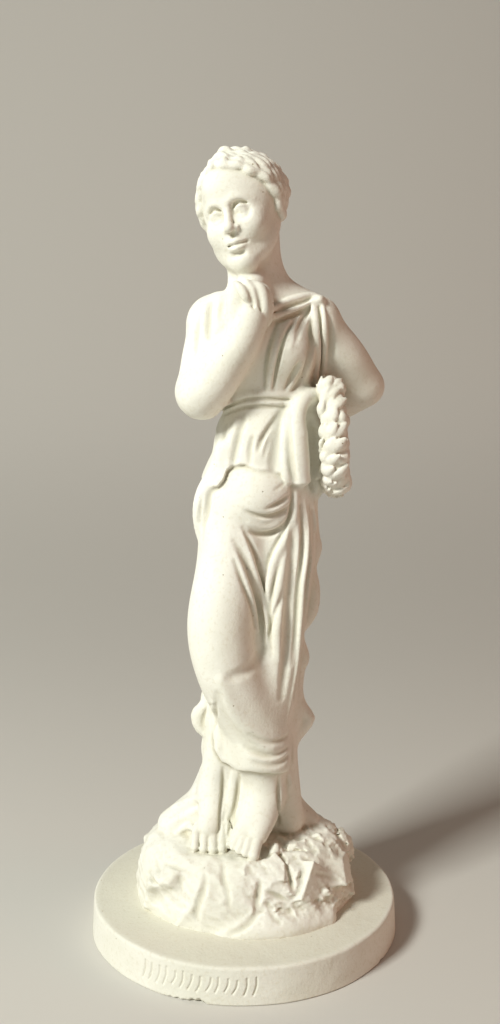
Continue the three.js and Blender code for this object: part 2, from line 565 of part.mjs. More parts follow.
// Fewer triangles for the same skin: the edge whose removal moves the skin least goes first, and
// the head and hands count for more, so they keep more of theirs.
function fewer({ points, faces }, target, weight) {
  const P = points.map((p) => p.slice());
  const Q = P.map(() => new Float64Array(10));
  const near = P.map(() => new Set());
  const F = faces.map((f) => f.slice());
  const alive = new Uint8Array(F.length).fill(1);
  const normal = (a, b, c) => {
    const [ux, uy, uz] = [b[0] - a[0], b[1] - a[1], b[2] - a[2]];
    const [vx, vy, vz] = [c[0] - a[0], c[1] - a[1], c[2] - a[2]];
    return [uy * vz - uz * vy, uz * vx - ux * vz, ux * vy - uy * vx];
  };
  const longest = (t) =>
    Math.max(...t.map((p, i) => p.reduce((sum, x, k) => sum + (x - t[(i + 1) % 3][k]) ** 2, 0)));
  F.forEach((f, i) => {
    const n = normal(P[f[0]], P[f[1]], P[f[2]]);
    const size = Math.hypot(...n);
    const w = (size / 2) * weight(P[f[0]]);
    const [a, b, c] = size > 1e-12 ? n.map((q) => q / size) : [0, 0, 0];
    const d = -(a * P[f[0]][0] + b * P[f[0]][1] + c * P[f[0]][2]);
    const q = [a * a, a * b, a * c, a * d, b * b, b * c, b * d, c * c, c * d, d * d];
    for (const v of f) {
      near[v].add(i);
      q.forEach((x, k) => (Q[v][k] += x * w));
    }
  });
  const cost = (q, [x, y, z]) =>
    q[0] * x * x + 2 * q[1] * x * y + 2 * q[2] * x * z + 2 * q[3] * x + q[4] * y * y +
    2 * q[5] * y * z + 2 * q[6] * y + q[7] * z * z + 2 * q[8] * z + q[9];
  const best = (a, b) => {
    const q = Q[a].map((x, k) => x + Q[b][k]);
    const m = P[a].map((x, k) => (x + P[b][k]) / 2);
    const e = 1e-3 * (q[0] + q[4] + q[7]) + 1e-9;
    const M = new THREE.Matrix3().set(q[0] + e, q[1], q[2], q[1], q[4] + e, q[5], q[2], q[5], q[7] + e);
    const r = new THREE.Vector3(-q[3] + e * m[0], -q[6] + e * m[1], -q[8] + e * m[2]);
    const s = r.applyMatrix3(M.invert()).toArray();
    const reach = Math.hypot(...P[a].map((x, k) => x - P[b][k]));
    const p = Math.hypot(...s.map((x, k) => x - m[k])) < 1.5 * reach ? s : m;
    return { p, c: cost(q, p) + 1e-6 * reach * reach };
  };
  // A binary heap of edges; an entry is stale when either end has changed since it was put in.
  const heap = [];
  const stamp = new Uint32Array(P.length);
  const push = (a, b) => {
    const { p, c } = best(a, b);
    heap.push({ a, b, p, c, s: stamp[a] + stamp[b] });
    let i = heap.length - 1;
    while (i > 0) {
      const up1 = (i - 1) >> 1;
      if (heap[up1].c <= heap[i].c) break;
      [heap[up1], heap[i]] = [heap[i], heap[up1]];
      i = up1;
    }
  };
  const pop = () => {
    const first = heap[0];
    const last = heap.pop();
    if (heap.length) {
      heap[0] = last;
      for (let i = 0; ; ) {
        let c = 2 * i + 1;
        if (c >= heap.length) break;
        if (c + 1 < heap.length && heap[c + 1].c < heap[c].c) c++;
        if (heap[i].c <= heap[c].c) break;
        [heap[i], heap[c]] = [heap[c], heap[i]];
        i = c;
      }
    }
    return first;
  };
  const ring = (v) => {
    const out = new Set();
    for (const f of near[v]) for (const w of F[f]) if (w !== v) out.add(w);
    return out;
  };
  const gone = new Uint8Array(P.length);
  P.forEach((_, a) => ring(a).forEach((b) => a < b && push(a, b)));
  let count = F.length;
  while (count > target && heap.length) {
    const { a, b, p, s } = pop();
    if (gone[a] || gone[b] || s !== stamp[a] + stamp[b]) continue;
    const [ra, rb] = [ring(a), ring(b)];
    if (!ra.has(b)) continue;
    let shared = 0;
    for (const v of ra) if (rb.has(v)) shared++;
    if (shared !== 2) continue;
    let flips = false;
    for (const v of [a, b])
      for (const f of near[v]) {
        if (F[f].includes(a) && F[f].includes(b)) continue;
        const now = F[f].map((w) => P[w]);
        const then = F[f].map((w) => (w === v ? p : P[w]));
        const [n0, n1] = [normal(...now), normal(...then)];
        const [s0, s1] = [Math.hypot(...n0), Math.hypot(...n1)];
        const dot = n0[0] * n1[0] + n0[1] * n1[1] + n0[2] * n1[2];
        const [q0, q1] = [s0 / longest(now), s1 / longest(then)];
        if (dot < 0.2 * s0 * s1 || (q1 < 0.1 && q1 < q0)) flips = true;
      }
    if (flips) continue;
    for (const f of [...near[b]]) {
      if (F[f].includes(a)) {
        alive[f] = 0;
        count--;
        for (const w of F[f]) near[w].delete(f);
      } else {
        F[f] = F[f].map((w) => (w === b ? a : w));
        near[a].add(f);
      }
    }
    P[a] = p;
    Q[a].forEach((_, k) => (Q[a][k] += Q[b][k]));
    gone[b] = 1;
    stamp[a]++;
    for (const v of ring(a)) push(a, v);
  }
  return { points: P, faces: F.filter((_, i) => alive[i]) };
}

// The foot: a thick round plate, turned about Z, with its upper edge worn round.
function footRing() {
  const r = FOOT_DIAMETER / 2;
  const top = r - FOOT_DRAFT;
  const e = FOOT_EDGE_ROUNDING;
  const outline = [
    [0, 0], [r - 0.4, 0], [r, 0.4], [top, FOOT_THICKNESS - e],
    [top - 0.3 * e, FOOT_THICKNESS - 0.3 * e], [top - e, FOOT_THICKNESS], [0, FOOT_THICKNESS],
  ].map(([x, y]) => new THREE.Vector2(x, y));
  return new THREE.LatheGeometry(outline, FOOT_SEGMENTS).rotateX(Math.PI / 2);
}

const kernel = await Module();
kernel.setup();

// A closed solid from points and triangles; points that share a place become one.
function solid(points, faces) {
  const mesh = new kernel.Mesh({
    numProp: 3,
    vertProperties: new Float32Array(points.flat()),
    triVerts: new Uint32Array(faces.flat()),
  });
  mesh.merge();
  return new kernel.Manifold(mesh);
}

function solidOf(geometry) {
  const g = geometry.index ? geometry.toNonIndexed() : geometry;
  const p = g.getAttribute("position");
  const points = [];
  const faces = [];
  for (let i = 0; i < p.count; i++) points.push([p.getX(i), p.getY(i), p.getZ(i)]);
  for (let i = 0; i < p.count; i += 3) faces.push([i, i + 1, i + 2]);
  return solid(points, faces);
}

function figurine() {
  const clay = new Clay([-54, -46, 6], [62, 46, 304], CLAY_STEP);
  sculptRock(clay);
  sculptBody(clay);
  sculptHand(clay);
  sculptHead(clay);
  sculptDress(clay);
  sculptWreath(clay);
  const fine = fewer(clay.skin(), FIGURE_TRIANGLES, ([, , z]) => (z > 255 ? 4 : z > 40 ? 1.5 : 0.2));
  // From the sketch to real sizes: the crown comes to the overall height.
  const crown = Math.max(...fine.points.map((p) => p[2]));
  const unit = (OVERALL_HEIGHT - FOOT_THICKNESS) / (crown - SKETCH_GROUND);
  const figure = solid(
    fine.points.map(([x, y, z]) => [x * unit, y * unit, (z - SKETCH_GROUND) * unit + FOOT_THICKNESS]),
    fine.faces,
  ).trimByPlane([0, 0, 1], FOOT_THICKNESS - ROCK_SINK);
  return solidOf(footRing()).add(figure);
}

const whole = figurine().getMesh();
const geometry = new THREE.BufferGeometry();
geometry.setAttribute("position", new THREE.BufferAttribute(Float32Array.from(whole.vertProperties), 3));
geometry.setIndex([...whole.triVerts]);
const shaped = geometry.toNonIndexed();
shaped.computeVertexNormals();

const plaster = new THREE.MeshStandardMaterial({ color: "#ebe6d8", roughness: 0.85, metalness: 0 });
plaster.name = "plaster";

const part = new THREE.Group();
part.name = "part";
const mesh = new THREE.Mesh(shaped, plaster);
mesh.name = "figurine";
part.add(mesh);

export default part;
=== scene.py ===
# %% [markdown]
# # A plaster goddess on a rock
#
# This lesson rebuilds a cast plaster figurine, 300 mm tall: a draped goddess who stands on a rough
# rock with one hand at her throat and a wreath at her left hip. The plain CAD shape of it is
# loaded first, as a fixed frame. It gives the size and the place, and the fine shape is made here.

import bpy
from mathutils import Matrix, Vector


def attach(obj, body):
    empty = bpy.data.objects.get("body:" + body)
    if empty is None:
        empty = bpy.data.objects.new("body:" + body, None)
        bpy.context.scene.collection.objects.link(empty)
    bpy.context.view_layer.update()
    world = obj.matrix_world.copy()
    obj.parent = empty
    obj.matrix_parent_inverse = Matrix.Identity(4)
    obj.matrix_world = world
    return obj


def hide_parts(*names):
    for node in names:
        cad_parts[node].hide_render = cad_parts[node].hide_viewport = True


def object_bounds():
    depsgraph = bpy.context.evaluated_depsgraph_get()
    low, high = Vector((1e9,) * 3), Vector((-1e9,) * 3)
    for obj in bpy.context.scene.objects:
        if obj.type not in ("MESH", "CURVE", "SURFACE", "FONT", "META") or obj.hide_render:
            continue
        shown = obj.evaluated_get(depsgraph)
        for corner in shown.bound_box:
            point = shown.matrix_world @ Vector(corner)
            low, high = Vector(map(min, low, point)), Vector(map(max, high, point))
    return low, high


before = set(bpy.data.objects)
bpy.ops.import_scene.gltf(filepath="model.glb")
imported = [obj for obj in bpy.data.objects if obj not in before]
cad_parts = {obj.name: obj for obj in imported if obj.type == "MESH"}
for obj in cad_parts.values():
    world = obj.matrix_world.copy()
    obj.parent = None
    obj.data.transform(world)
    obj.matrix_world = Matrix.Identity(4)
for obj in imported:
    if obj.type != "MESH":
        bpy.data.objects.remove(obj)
box_at_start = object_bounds()
print("CAD box in metres:", [[round(v, 4) for v in corner] for corner in box_at_start])

# %% [markdown]
# ## Clay on a grid
#
# The real figurine began as a clay model, and clay is worked by adding soft rolls and lumps and by
# pressing grooves. A mesh of points and faces is a poor material for that: each new roll would
# have to be stitched to its neighbours. So the clay is kept here as a block of distances, one
# number for each point of a fine grid: below zero inside the clay, above zero outside it. Adding
# a form is then a minimum, carving one is a maximum, and a soft join is a minimum that is rounded
# off where the two are about equal. Blender's own volume library turns the block into faces.

# %% A block of clay
import math

import numpy as np


class Clay:
    """Distances to the skin on a grid, below zero inside."""

    def __init__(self, low, high, step):
        self.low = np.array(low, np.float32)
        self.step = step
        self.n = np.ceil((np.array(high) - self.low) / step).astype(int) + 1
        self.value = np.full(self.n, 50.0, np.float32)

    def window(self, low, high, margin):
        """The part of the block near a form: its slices, and x, y and z along them."""
        first = np.floor((np.array(low) - margin - self.low) / self.step).astype(int)
        last = np.ceil((np.array(high) + margin - self.low) / self.step).astype(int) + 1
        first, last = np.clip(first, 0, self.n), np.clip(last, 0, self.n)
        lines = [self.low[k] + self.step * np.arange(first[k], last[k], dtype=np.float32) for k in range(3)]
        return tuple(slice(a, b) for a, b in zip(first, last)), np.ix_(*lines)

    def add(self, form, blend=1.0, sign=1):
        """Joins a form to the clay; with sign -1, inside and outside change places and it is cut out."""
        low, high, distance = form
        cut, (x, y, z) = self.window(low, high, blend + 3 * self.step)
        if min(len(x), y.shape[1], z.shape[2]) == 0:
            return
        v, d = sign * self.value[cut], distance(x, y, z, blend + 3 * self.step)
        soft = np.maximum(blend - np.abs(v - d), 0) / blend
        self.value[cut] = sign * (np.minimum(v, d) - soft * soft * (blend / 4))

    def carve(self, form, blend=1.0):
        self.add(form, blend, -1)

    def rub(self, times, reach=2, low=(-99, -99, -99), high=(999, 999, 999)):
        """Rubs a box of it smooth, as with a damp finger: each point becomes its neighbours' mean."""
        cut, _ = self.window(low, high, 0)
        value = self.value[cut]
        np.clip(value, -3, 3, out=value)
        for _ in range(times):
            for axis in range(3):
                v = np.moveaxis(value, axis, 0)
                v[reach:-reach] = v[reach:-reach] / 2 + (v[: -2 * reach] + v[2 * reach :]) / 4

    def swell(self, low, high, amount):
        """Thickens the skin by amount(x, y, z) inside a box."""
        cut, (x, y, z) = self.window(low, high, 0)
        self.value[cut] -= amount(x, y, z)


STEP = 0.45  # millimetres between grid points
clay = Clay((-54, -46, 8), (60, 44, 304), STEP)


def tell(what):
    print(what + ", clay so far:", round(float((clay.value < 0).sum()) * STEP**3 / 1000), "cubic cm")


print("empty block of", clay.value.shape, "points")

# %% Egg, roll and rock, the three forms of clay
def ball(centre, radius):
    return egg(centre, (radius, radius, radius))


def egg(centre, radii, turn=np.eye(3)):
    reach = max(radii)
    c, r = np.array(centre, float), np.array(radii, float)

    def distance(x, y, z, margin):
        dx, dy, dz = x - c[0], y - c[1], z - c[2]
        u, v, w = [turn[0, k] * dx + turn[1, k] * dy + turn[2, k] * dz for k in range(3)]
        near = np.sqrt((u / r[0]) ** 2 + (v / r[1]) ** 2 + (w / r[2]) ** 2)
        steep = np.sqrt((u / r[0] ** 2) ** 2 + (v / r[1] ** 2) ** 2 + (w / r[2] ** 2) ** 2)
        return near * (near - 1) / np.maximum(steep, 1e-3)

    return c - reach, c + reach, distance


def smooth(stations, spacing=2.0):
    """Points on a curve through [x, y, z, thickness] stations."""
    s = np.array(stations, float)
    if len(s) < 3:
        return s
    padded = np.vstack([2 * s[0] - s[1], s, 2 * s[-1] - s[-2]])
    points = []
    for i in range(1, len(padded) - 2):
        p0, p1, p2, p3 = padded[i - 1 : i + 3]
        steps = max(1, round(float(np.linalg.norm((p2 - p1)[:3])) / spacing))
        for t in np.arange(steps) / steps:
            a = 2 * p1 + (p2 - p0) * t + (2 * p0 - 5 * p1 + 4 * p2 - p3) * t**2
            points.append((a + (3 * p1 - p0 - 3 * p2 + p3) * t**3) / 2)
    points.append(s[-1])
    return np.array(points)


def limb(stations, flat=None, spacing=2.0):
    """A roll of clay through [x, y, z, thickness] stations; flat = (direction, share) flattens it."""
    p = smooth(stations, spacing)
    low, high = p[:, :3].min(0) - p[:, 3].max(), p[:, :3].max(0) + p[:, 3].max()

    def distance(x, y, z, margin):
        best = np.full(np.broadcast_shapes(x.shape, y.shape, z.shape), 1e3, np.float32)
        for a, b in zip(p[:-1], p[1:]):
            reach = max(a[3], b[3]) + margin
            cut = []
            for k, line in enumerate((x.ravel(), y.ravel(), z.ravel())):
                first = np.searchsorted(line, min(a[k], b[k]) - reach)
                last = np.searchsorted(line, max(a[k], b[k]) + reach)
                cut.append(slice(first, last))
            X, Y, Z = x[cut[0]], y[:, cut[1]], z[:, :, cut[2]]
            d = b[:3] - a[:3]
            long = max(float(d @ d), 1e-6)
            t = np.clip(((X - a[0]) * d[0] + (Y - a[1]) * d[1] + (Z - a[2]) * d[2]) / long, 0, 1)
            qx, qy, qz = X - a[0] - t * d[0], Y - a[1] - t * d[1], Z - a[2] - t * d[2]
            if flat:
                (nx, ny, nz), share = flat
                push = (qx * nx + qy * ny + qz * nz) * (1 / share - 1)
                qx, qy, qz = qx + nx * push, qy + ny * push, qz + nz * push
            found = np.sqrt(qx * qx + qy * qy + qz * qz) - (a[3] + t * (b[3] - a[3]))
            spot = tuple(cut)
            best[spot] = np.minimum(best[spot], found)
        return best

    return low, high, distance


def roll(stations, blend, flat=None):
    clay.add(limb(stations, flat), blend)


def rock(centre, radii, seed, planes=16):
    """A broken lump: an egg cut by flat planes, some of them deep."""
    chance = np.random.default_rng(seed)
    normals = chance.normal(size=(planes, 3))
    normals /= np.linalg.norm(normals, axis=1)[:, None]
    cuts = 0.5 + 0.4 * chance.random(planes)
    c, r = np.array(centre, float), np.array(radii, float)

    def distance(x, y, z, margin):
        u, v, w = (x - c[0]) / r[0], (y - c[1]) / r[1], (z - c[2]) / r[2]
        d = np.sqrt(u * u + v * v + w * w) - 1
        for (a, b, e), h in zip(normals, cuts):
            d = np.maximum(d, a * u + b * v + e * w - h)
        return d * r.min()

    return c - r * 1.2, c + r * 1.2, distance


def chunk(centre, faces):
    """A broken piece with flat faces, each given as the way it looks and how far out it is."""
    c = np.array(centre, float)
    reach = 1.5 * max(f[3] for f in faces)

    def distance(x, y, z, margin):
        d = np.float32(-99)
        for a, b, e, far in faces:
            long = math.sqrt(a * a + b * b + e * e)
            d = np.maximum(d, (a * (x - c[0]) + b * (y - c[1]) + e * (z - c[2])) / long - far)
        return d

    return c - reach, c + reach, distance

# %% [markdown]
# A fold of cloth is a roll laid on the skin, and a crease is the same roll pressed into it. To lay
# one, the maker looks at the clay from a side and draws a line. Each point of the line is thrown
# at the clay until it meets the skin, and the roll goes there, sunk so that only its back shows.

# %% Drawing on the clay
FRONT, HER_LEFT, BACK, HER_RIGHT = 0, 90, 180, -90  # the side a line is drawn from, in degrees


def sample(x, y, z):
    """The distance kept in the block at any points, between its grid points too."""
    f = [np.clip((c - clay.low[k]) / clay.step, 0, clay.n[k] - 1.001) for k, c in enumerate((x, y, z))]
    i = [c.astype(int) for c in f]
    u, v, w = [c - n for c, n in zip(f, i)]
    total = 0
    for a in (0, 1):
        for b in (0, 1):
            for c in (0, 1):
                share = (u if a else 1 - u) * (v if b else 1 - v) * (w if c else 1 - w)
                total = total + share * clay.value[i[0] + a, i[1] + b, i[2] + c]
    return total


def facing(p):
    """Which way the skin faces near some points: the way in which the distance grows."""
    steps = np.eye(3) * 1.5 * clay.step
    n = np.stack([sample(*(p + s).T) - sample(*(p - s).T) for s in steps], 1)
    return n / np.maximum(np.linalg.norm(n, axis=1)[:, None], 1e-6)


def touch(side, across, z):
    """Where points drawn from a side meet the skin, and which way it faces there."""
    across, z = np.array(across, float), np.array(z, float)
    a = math.radians(side)
    far = np.arange(68, -45, -clay.step / 2)[None, :]
    x = math.cos(a) * across[:, None] + math.sin(a) * far
    y = math.sin(a) * across[:, None] - math.cos(a) * far
    d = sample(x, y, np.broadcast_to(z[:, None], x.shape))
    hit = np.argmax(d < 0, axis=1)
    row = np.arange(len(z))
    near, past = d[row, hit], d[row, np.maximum(hit - 1, 0)]
    back = far[0, hit] + clay.step / 2 * near / np.minimum(near - np.minimum(past, 2), -1e-3)
    px = math.cos(a) * across + math.sin(a) * back
    py = math.sin(a) * across - math.cos(a) * back
    met = np.stack([px, py, z], 1)
    return met, facing(met), hit > 0


def pressed(points, above):
    """Moves points straight to the skin, and then a little above it."""
    p = np.array(points, float)
    for _ in range(4):
        n = facing(p)
        p -= n * sample(*p.T)[:, None]
    return p + n * np.array(above)[: len(p), None]


def drawn(side, line, radius, above, ends=0.45):
    """The roll for a line drawn from a side as (across, height) points, thinner at its ends."""
    flat = smooth([(a, z, 0, 0) for a, z in line], 1.5)
    t = np.linspace(0, 1, len(flat))
    thin = np.maximum(0.04, np.sin(math.pi * t)) ** 0.6
    p, n, met = touch(side, flat[:, 0], flat[:, 1])
    r = radius * (ends + (1 - ends) * thin)
    off = above * thin - math.copysign(1, above) * r
    line = np.column_stack([p + n * off[:, None], r])[met]
    for _ in range(3):  # an even line, whatever small bumps it crosses
        line[1:-1] = line[1:-1] / 2 + (line[:-2] + line[2:]) / 4
    return line


def fold(line, radius, proud, blend, side=FRONT):
    clay.add(limb(drawn(side, line, radius, proud), spacing=9), blend)


def groove(line, radius, deep, blend, side=FRONT):
    clay.carve(limb(drawn(side, line, radius, -deep), spacing=9), blend)

# %% [markdown]
# ## The body under the cloth
#
# The figure is built from the inside out, as in life: hips and legs first, then the chest, the
# arms and the neck. Her weight is on her left leg, and her right leg crosses in front of it.

# %% Hips, legs and the cloth behind them
BACK_TO_FRONT = ((0, 1, 0), 0.62)  # flattened along Y to this share

clay.add(egg((7.6, 1, 183), (18.4, 14.6, 22)), 1)
roll([(6, 5, 178, 18), (5, 6, 150, 16), (4, 6, 110, 15.5), (2, 6, 70, 14)], 5)
roll([(14, 1, 176, 13.5), (15, -2, 150, 12.5), (12, -4, 120, 11.5), (8, -4, 92, 12), (5, -5, 74, 11)], 5)
roll([
    (-3, -2, 176, 13), (-5, -8, 150, 12.6), (-8.6, -13, 126, 12.8), (-6, -14, 108, 12), (3, -10, 88, 12),
    (6.5, -9, 76, 11.5),
], 4)
roll([(-2, 0, 170, 13), (-4, -2, 130, 12.5), (-3, 0, 90, 11)], 5)
roll([
    (-2, 8, 176, 14), (-2, 6, 140, 14), (-1, 5, 104, 13.6), (-3, 7, 66, 12), (-5, 9, 42, 13.4),
], 5, BACK_TO_FRONT)
roll([
    (12, 8, 176, 13), (11, 6, 140, 12.6), (9, 5, 104, 12.4), (7, 7, 66, 10.4), (9, 9, 42, 11.6),
], 5, BACK_TO_FRONT)
# The cloth between and behind the shins, run out over the rock.
roll([(-2, -2, 84, 8), (-2, -4, 60, 6.5), (0, -5, 42, 7)], 3)
roll([(14, -2, 80, 6), (16, -1, 62, 6), (17, 0, 42, 7)], 3)
roll([(-11, 8, 62, 6), (-17, 8, 48, 6), (-24, 5, 44, 5), (-31, 2, 41, 4)], 3)
roll([(-13, 4, 56, 5), (-21, 2, 46, 5), (-29, -1, 38, 5)], 3)
clay.add(egg((-18, 3, 42), (9, 8, 9)), 3)
roll([(-12, 0, 60, 5), (-16, 0, 50, 5), (-19, -2, 42, 5)], 3)
roll([(0, -6, 58, 5), (-1, -8, 47, 5.5), (-2, -9, 40, 6)], 3)
roll([(14, 8, 60, 6), (18, 8, 46, 6), (26, 6, 39, 5)], 3)
roll([(25, 1, 206, 6.5), (27, 1, 192, 6), (26, 1, 178, 6)], 3)
roll([(-9, 2, 96, 6), (-11.5, 2, 86, 6.4), (-10, 2, 76, 6), (-9, 1, 62, 5.4)], 3)
roll([(16, 3, 98, 6), (18.6, 3, 86, 6.4), (15.6, 3, 75, 6), (14, 2, 62, 5.4)], 3)
tell("hips and legs")

# %% Waist, chest, shoulders, neck and arms
roll([(8, 1, 200, 16.5), (9, 1, 209, 15.5), (8, 1, 220, 16.5), (7, 1, 232, 18)], 7, ((0, 1, 0), 0.8))
clay.add(egg((8, 1, 229), (19.5, 13.5, 19)), 4)
clay.add(ball((16, -6, 228), 8.6), 6)
clay.add(ball((0, -6, 228), 8), 6)
roll([(-12, 3, 239, 9), (0, 4, 243, 8), (14, 4, 243, 8), (27, 4, 240, 7.8)], 5)
roll([(6, 4, 253, 8.5), (17, 4, 246.5, 7.5), (28, 4, 241.5, 6.5)], 5)
roll([(1, 1, 268, 9), (3.5, 2.5, 258, 9.6), (6, 4, 244, 12)], 3)
roll([(6, 6, 272, 7.6), (6.4, 5.6, 262, 7.8), (8, 5, 252, 8)], 4)
# Her left arm, bent behind the waist.
roll([(28, 4, 239, 7.8), (39, 10, 226, 8.4), (47.5, 16, 215, 7.3)], 4)
roll([(47, 16.5, 214, 7.6), (38, 20, 209, 8), (27, 20, 204, 7.5), (18, 19, 202, 7)], 3)
roll([(30, 10, 226, 6), (27, 12, 212, 7)], 4)
# Her right arm, raised to the throat.
roll([(-10, 2, 239, 10.2), (-12.6, -3, 226, 10.4), (-15.4, -9, 214.5, 9.2)], 4)
roll([
    (-15.6, -11, 212.4, 9), (-10.4, -14, 217.6, 8.4), (-5, -16, 225.4, 7.4), (-0.3, -18, 232.4, 6.6),
    (2.7, -18.2, 240, 6),
], 4)
roll([(3, -8, 252, 6), (3, -8, 240, 7)], 3)
clay.rub(4)
tell("torso and arms, rubbed smooth")

# %% [markdown]
# ## The rock
#
# She stands on a steep oval lump of rock with a nearly level top. It starts as a soft drum.
# Broken lumps, each an egg cut by flat planes, are let into it: large and sharp at her left and
# the front, low and worn at her right, as the plaster shows. It is made after the legs, because
# the cloth that runs out over it is rubbed soft together with them, and the stone isn't.

# %% The rock
GROUND = 14.0  # the top of the round foot, in the sketch's millimetres


def drum():
    def distance(x, y, z, margin):
        t = np.clip((z - GROUND) / 26, 0, 1) ** 3
        side = (np.sqrt((x / (43 - 8 * t)) ** 2 + ((y + 0.5) / (37.5 - 8.5 * t)) ** 2) - 1) * 34
        top = np.maximum(z - 38.5 - 0.06 * (y + 10), GROUND - 4 - z)
        soft = np.maximum(5 - np.abs(side - top), 0) / 5
        return np.maximum(side, top) + soft * soft * (5 / 4)

    return np.array([-52.0, -44, 0]), np.array([52.0, 44, 46]), distance


LUMPS = (
    # The broken pieces at her left and the front: middle, half-widths and seed.
    ((33, -14, 26), (9, 9, 9), 8), ((33, -16, 19), (9, 10, 8), 41), ((24.5, -11, 34), (6, 7, 6), 13),
    ((36, -2, 31), (7, 9, 7), 19), ((19, -26, 20), (8, 8, 7), 5), ((9, -29, 20), (8, 7, 8), 21),
    ((16, -20, 35), (6, 6, 4), 29), ((38, -12, 18), (7, 9, 7), 71), ((30, -3, 36), (6, 6, 4), 95),
    ((5, -29, 31), (6, 6, 7), 17), ((11, -29.5, 23), (7, 6, 6), 93), ((29, -21, 23), (6, 7, 7), 91),
    ((20, -27, 25), (6, 6, 6), 85), ((31, -6, 35), (6, 6, 5), 11), ((21, -15, 37), (5, 5, 4), 33),
    ((12, -19, 38), (5, 5, 4), 35), ((1, -27, 36), (6, 6, 4), 37),
    # Round the back.
    ((-28, 18, 25), (12, 12, 12), 43), ((-12, 25, 25), (15, 9, 12), 47), ((9, 26, 24), (15, 9, 12), 53),
    ((27, 17, 26), (13, 12, 12), 59), ((1, 26, 33), (9, 6, 6), 63), ((19, 23, 34), (8, 7, 6), 67),
    ((38, 8, 26), (8, 9, 10), 73),
)
# Three pieces with large flat faces, which catch the light at the front right. The way each face
# looks is given as x, y and z, and then how far it is from the middle.
BLOCK = ((11.8, -26.5, 33), (
    (0, -0.62, 0.78, 4.6), (-1, -0.2, 0.2, 3.9), (1, -0.1, 0.1, 4.1), (0, -0.85, -0.5, 5.8),
    (0.8, 0.3, 0.6, 4.9),
    (-0.8, 0.4, 0.6, 4.9), (0.7, -0.4, -0.6, 5), (-0.7, -0.4, -0.6, 5), (0, 1, 0.3, 5),
))
WEDGE = ((24, -24, 29), (
    (-0.55, -0.6, 0.58, 5.8), (0.72, -0.68, 0.1, 5), (0.2, 0.6, 0.77, 5.4), (0, -0.35, -0.94, 6.5),
    (-1, 0.3, -0.3, 6.5), (0, 1, 0, 7),
))
SLAB = ((33, -16, 28), (
    (0.35, -0.85, 0.4, 4.9), (0.25, 0, 0.97, 6.2), (0.95, -0.2, 0.25, 6.5), (0, -0.3, -1, 4.5),
    (-1, 0, 0, 8),
    (0, 1, 0, 8),
))
# The worn pieces at her right, rubbed soft after they are laid.
WORN = (
    ((-25, -19, 25), (13, 13, 14), 4), ((-12, -26, 25), (11, 10, 13), 16),
    ((-34, -4, 25), (10, 14, 13), 24),
    ((-3, -29, 24), (9, 8, 13), 31), ((-31, -14, 20), (12, 13, 10), 50), ((-18, -27, 18), (12, 9, 9), 51),
    ((-9, -30, 31), (7, 6, 6), 52), ((-22, -22, 33), (8, 8, 5), 54),
)


# More of them round the back and sides.
BEHIND = (
    ((-34, 12, 26), (9, 12, 12), 61), ((-20, 23, 25), (13, 9, 13), 62), ((-2, 27, 23), (12, 8, 12), 63),
    ((15, 26, 27), (12, 8, 11), 64), ((31, 17, 24), (11, 12, 13), 65), ((39, 2, 24), (6, 12, 12), 66),
    ((5, 30, 16), (14, 6, 7), 67), ((-28, 22, 16), (12, 9, 7), 68),
)


def ramp():
    """The long low slope along the foot of the rock at the front."""
    return limb([(-7, -36.5, 13, 2.6), (4, -36.5, 15.5, 4.8), (17, -33.5, 15, 5.6), (30, -26, 14, 5.4)])


def crag(x, y, z):
    """How far the broken stone stands out or in, in millimetres: sharp ridges at three scales."""
    chance = np.random.default_rng(7)
    her_left = np.clip((x + 4) / 14, 0, 1) * np.clip((26 - y) / 20, 0.4, 1)
    total = 0
    for scale, high, waves, worn in ((12.0, 1.3, 5, 0.6), (5.5, 0.55, 6, 0.4), (2.6, 0.2, 7, 0.25)):
        share = worn + (1 - worn) * her_left
        for _ in range(waves):
            a, b, c = chance.normal(size=3) * math.tau / scale / 1.7
            bent = 0.9 * np.sin((b * x - a * y + c * z) * 0.6 + 2) + 0.7 * np.sin((c * x + b * z) * 0.9)
            wave = np.sin(a * x + b * y + c * z + bent + chance.uniform(0, 6.3))
            total = total + (0.6 - np.abs(wave)) * high * 2 / waves * share
    level = np.clip((43 - z) / 6, 0, 1) * np.clip((z - GROUND) / 2, 0, 1)
    on_ramp = np.clip((22 - z) / 4, 0, 1) * np.clip((x + 10) / 6, 0, 1) * np.clip((-22 - y) / 4, 0, 1)
    return total * level * (1 - 0.7 * on_ramp)

clay.add(drum(), 1)
for centre, radii, seed in WORN:
    clay.add(rock(centre, radii, seed, 12), 1.2)
for centre, radii, seed in BEHIND:
    clay.add(rock(centre, radii, seed), 0.9)
clay.rub(1, 2, (-50, -44, 12), (0, 20, 44))
for centre, radii, seed in LUMPS:
    clay.add(rock(centre, radii, seed), 0.7)
clay.add(ramp(), 3)
clay.swell((-50, -44, 12), (50, 44, 44), crag)
for piece in (WEDGE, SLAB, BLOCK):
    clay.add(chunk(*piece), 0.9)
clay.swell((-2, -44, 12), (50, 10, 44), lambda x, y, z: 0.25 * crag(x + 7, y, z) * np.clip(x / 4, 0, 1))
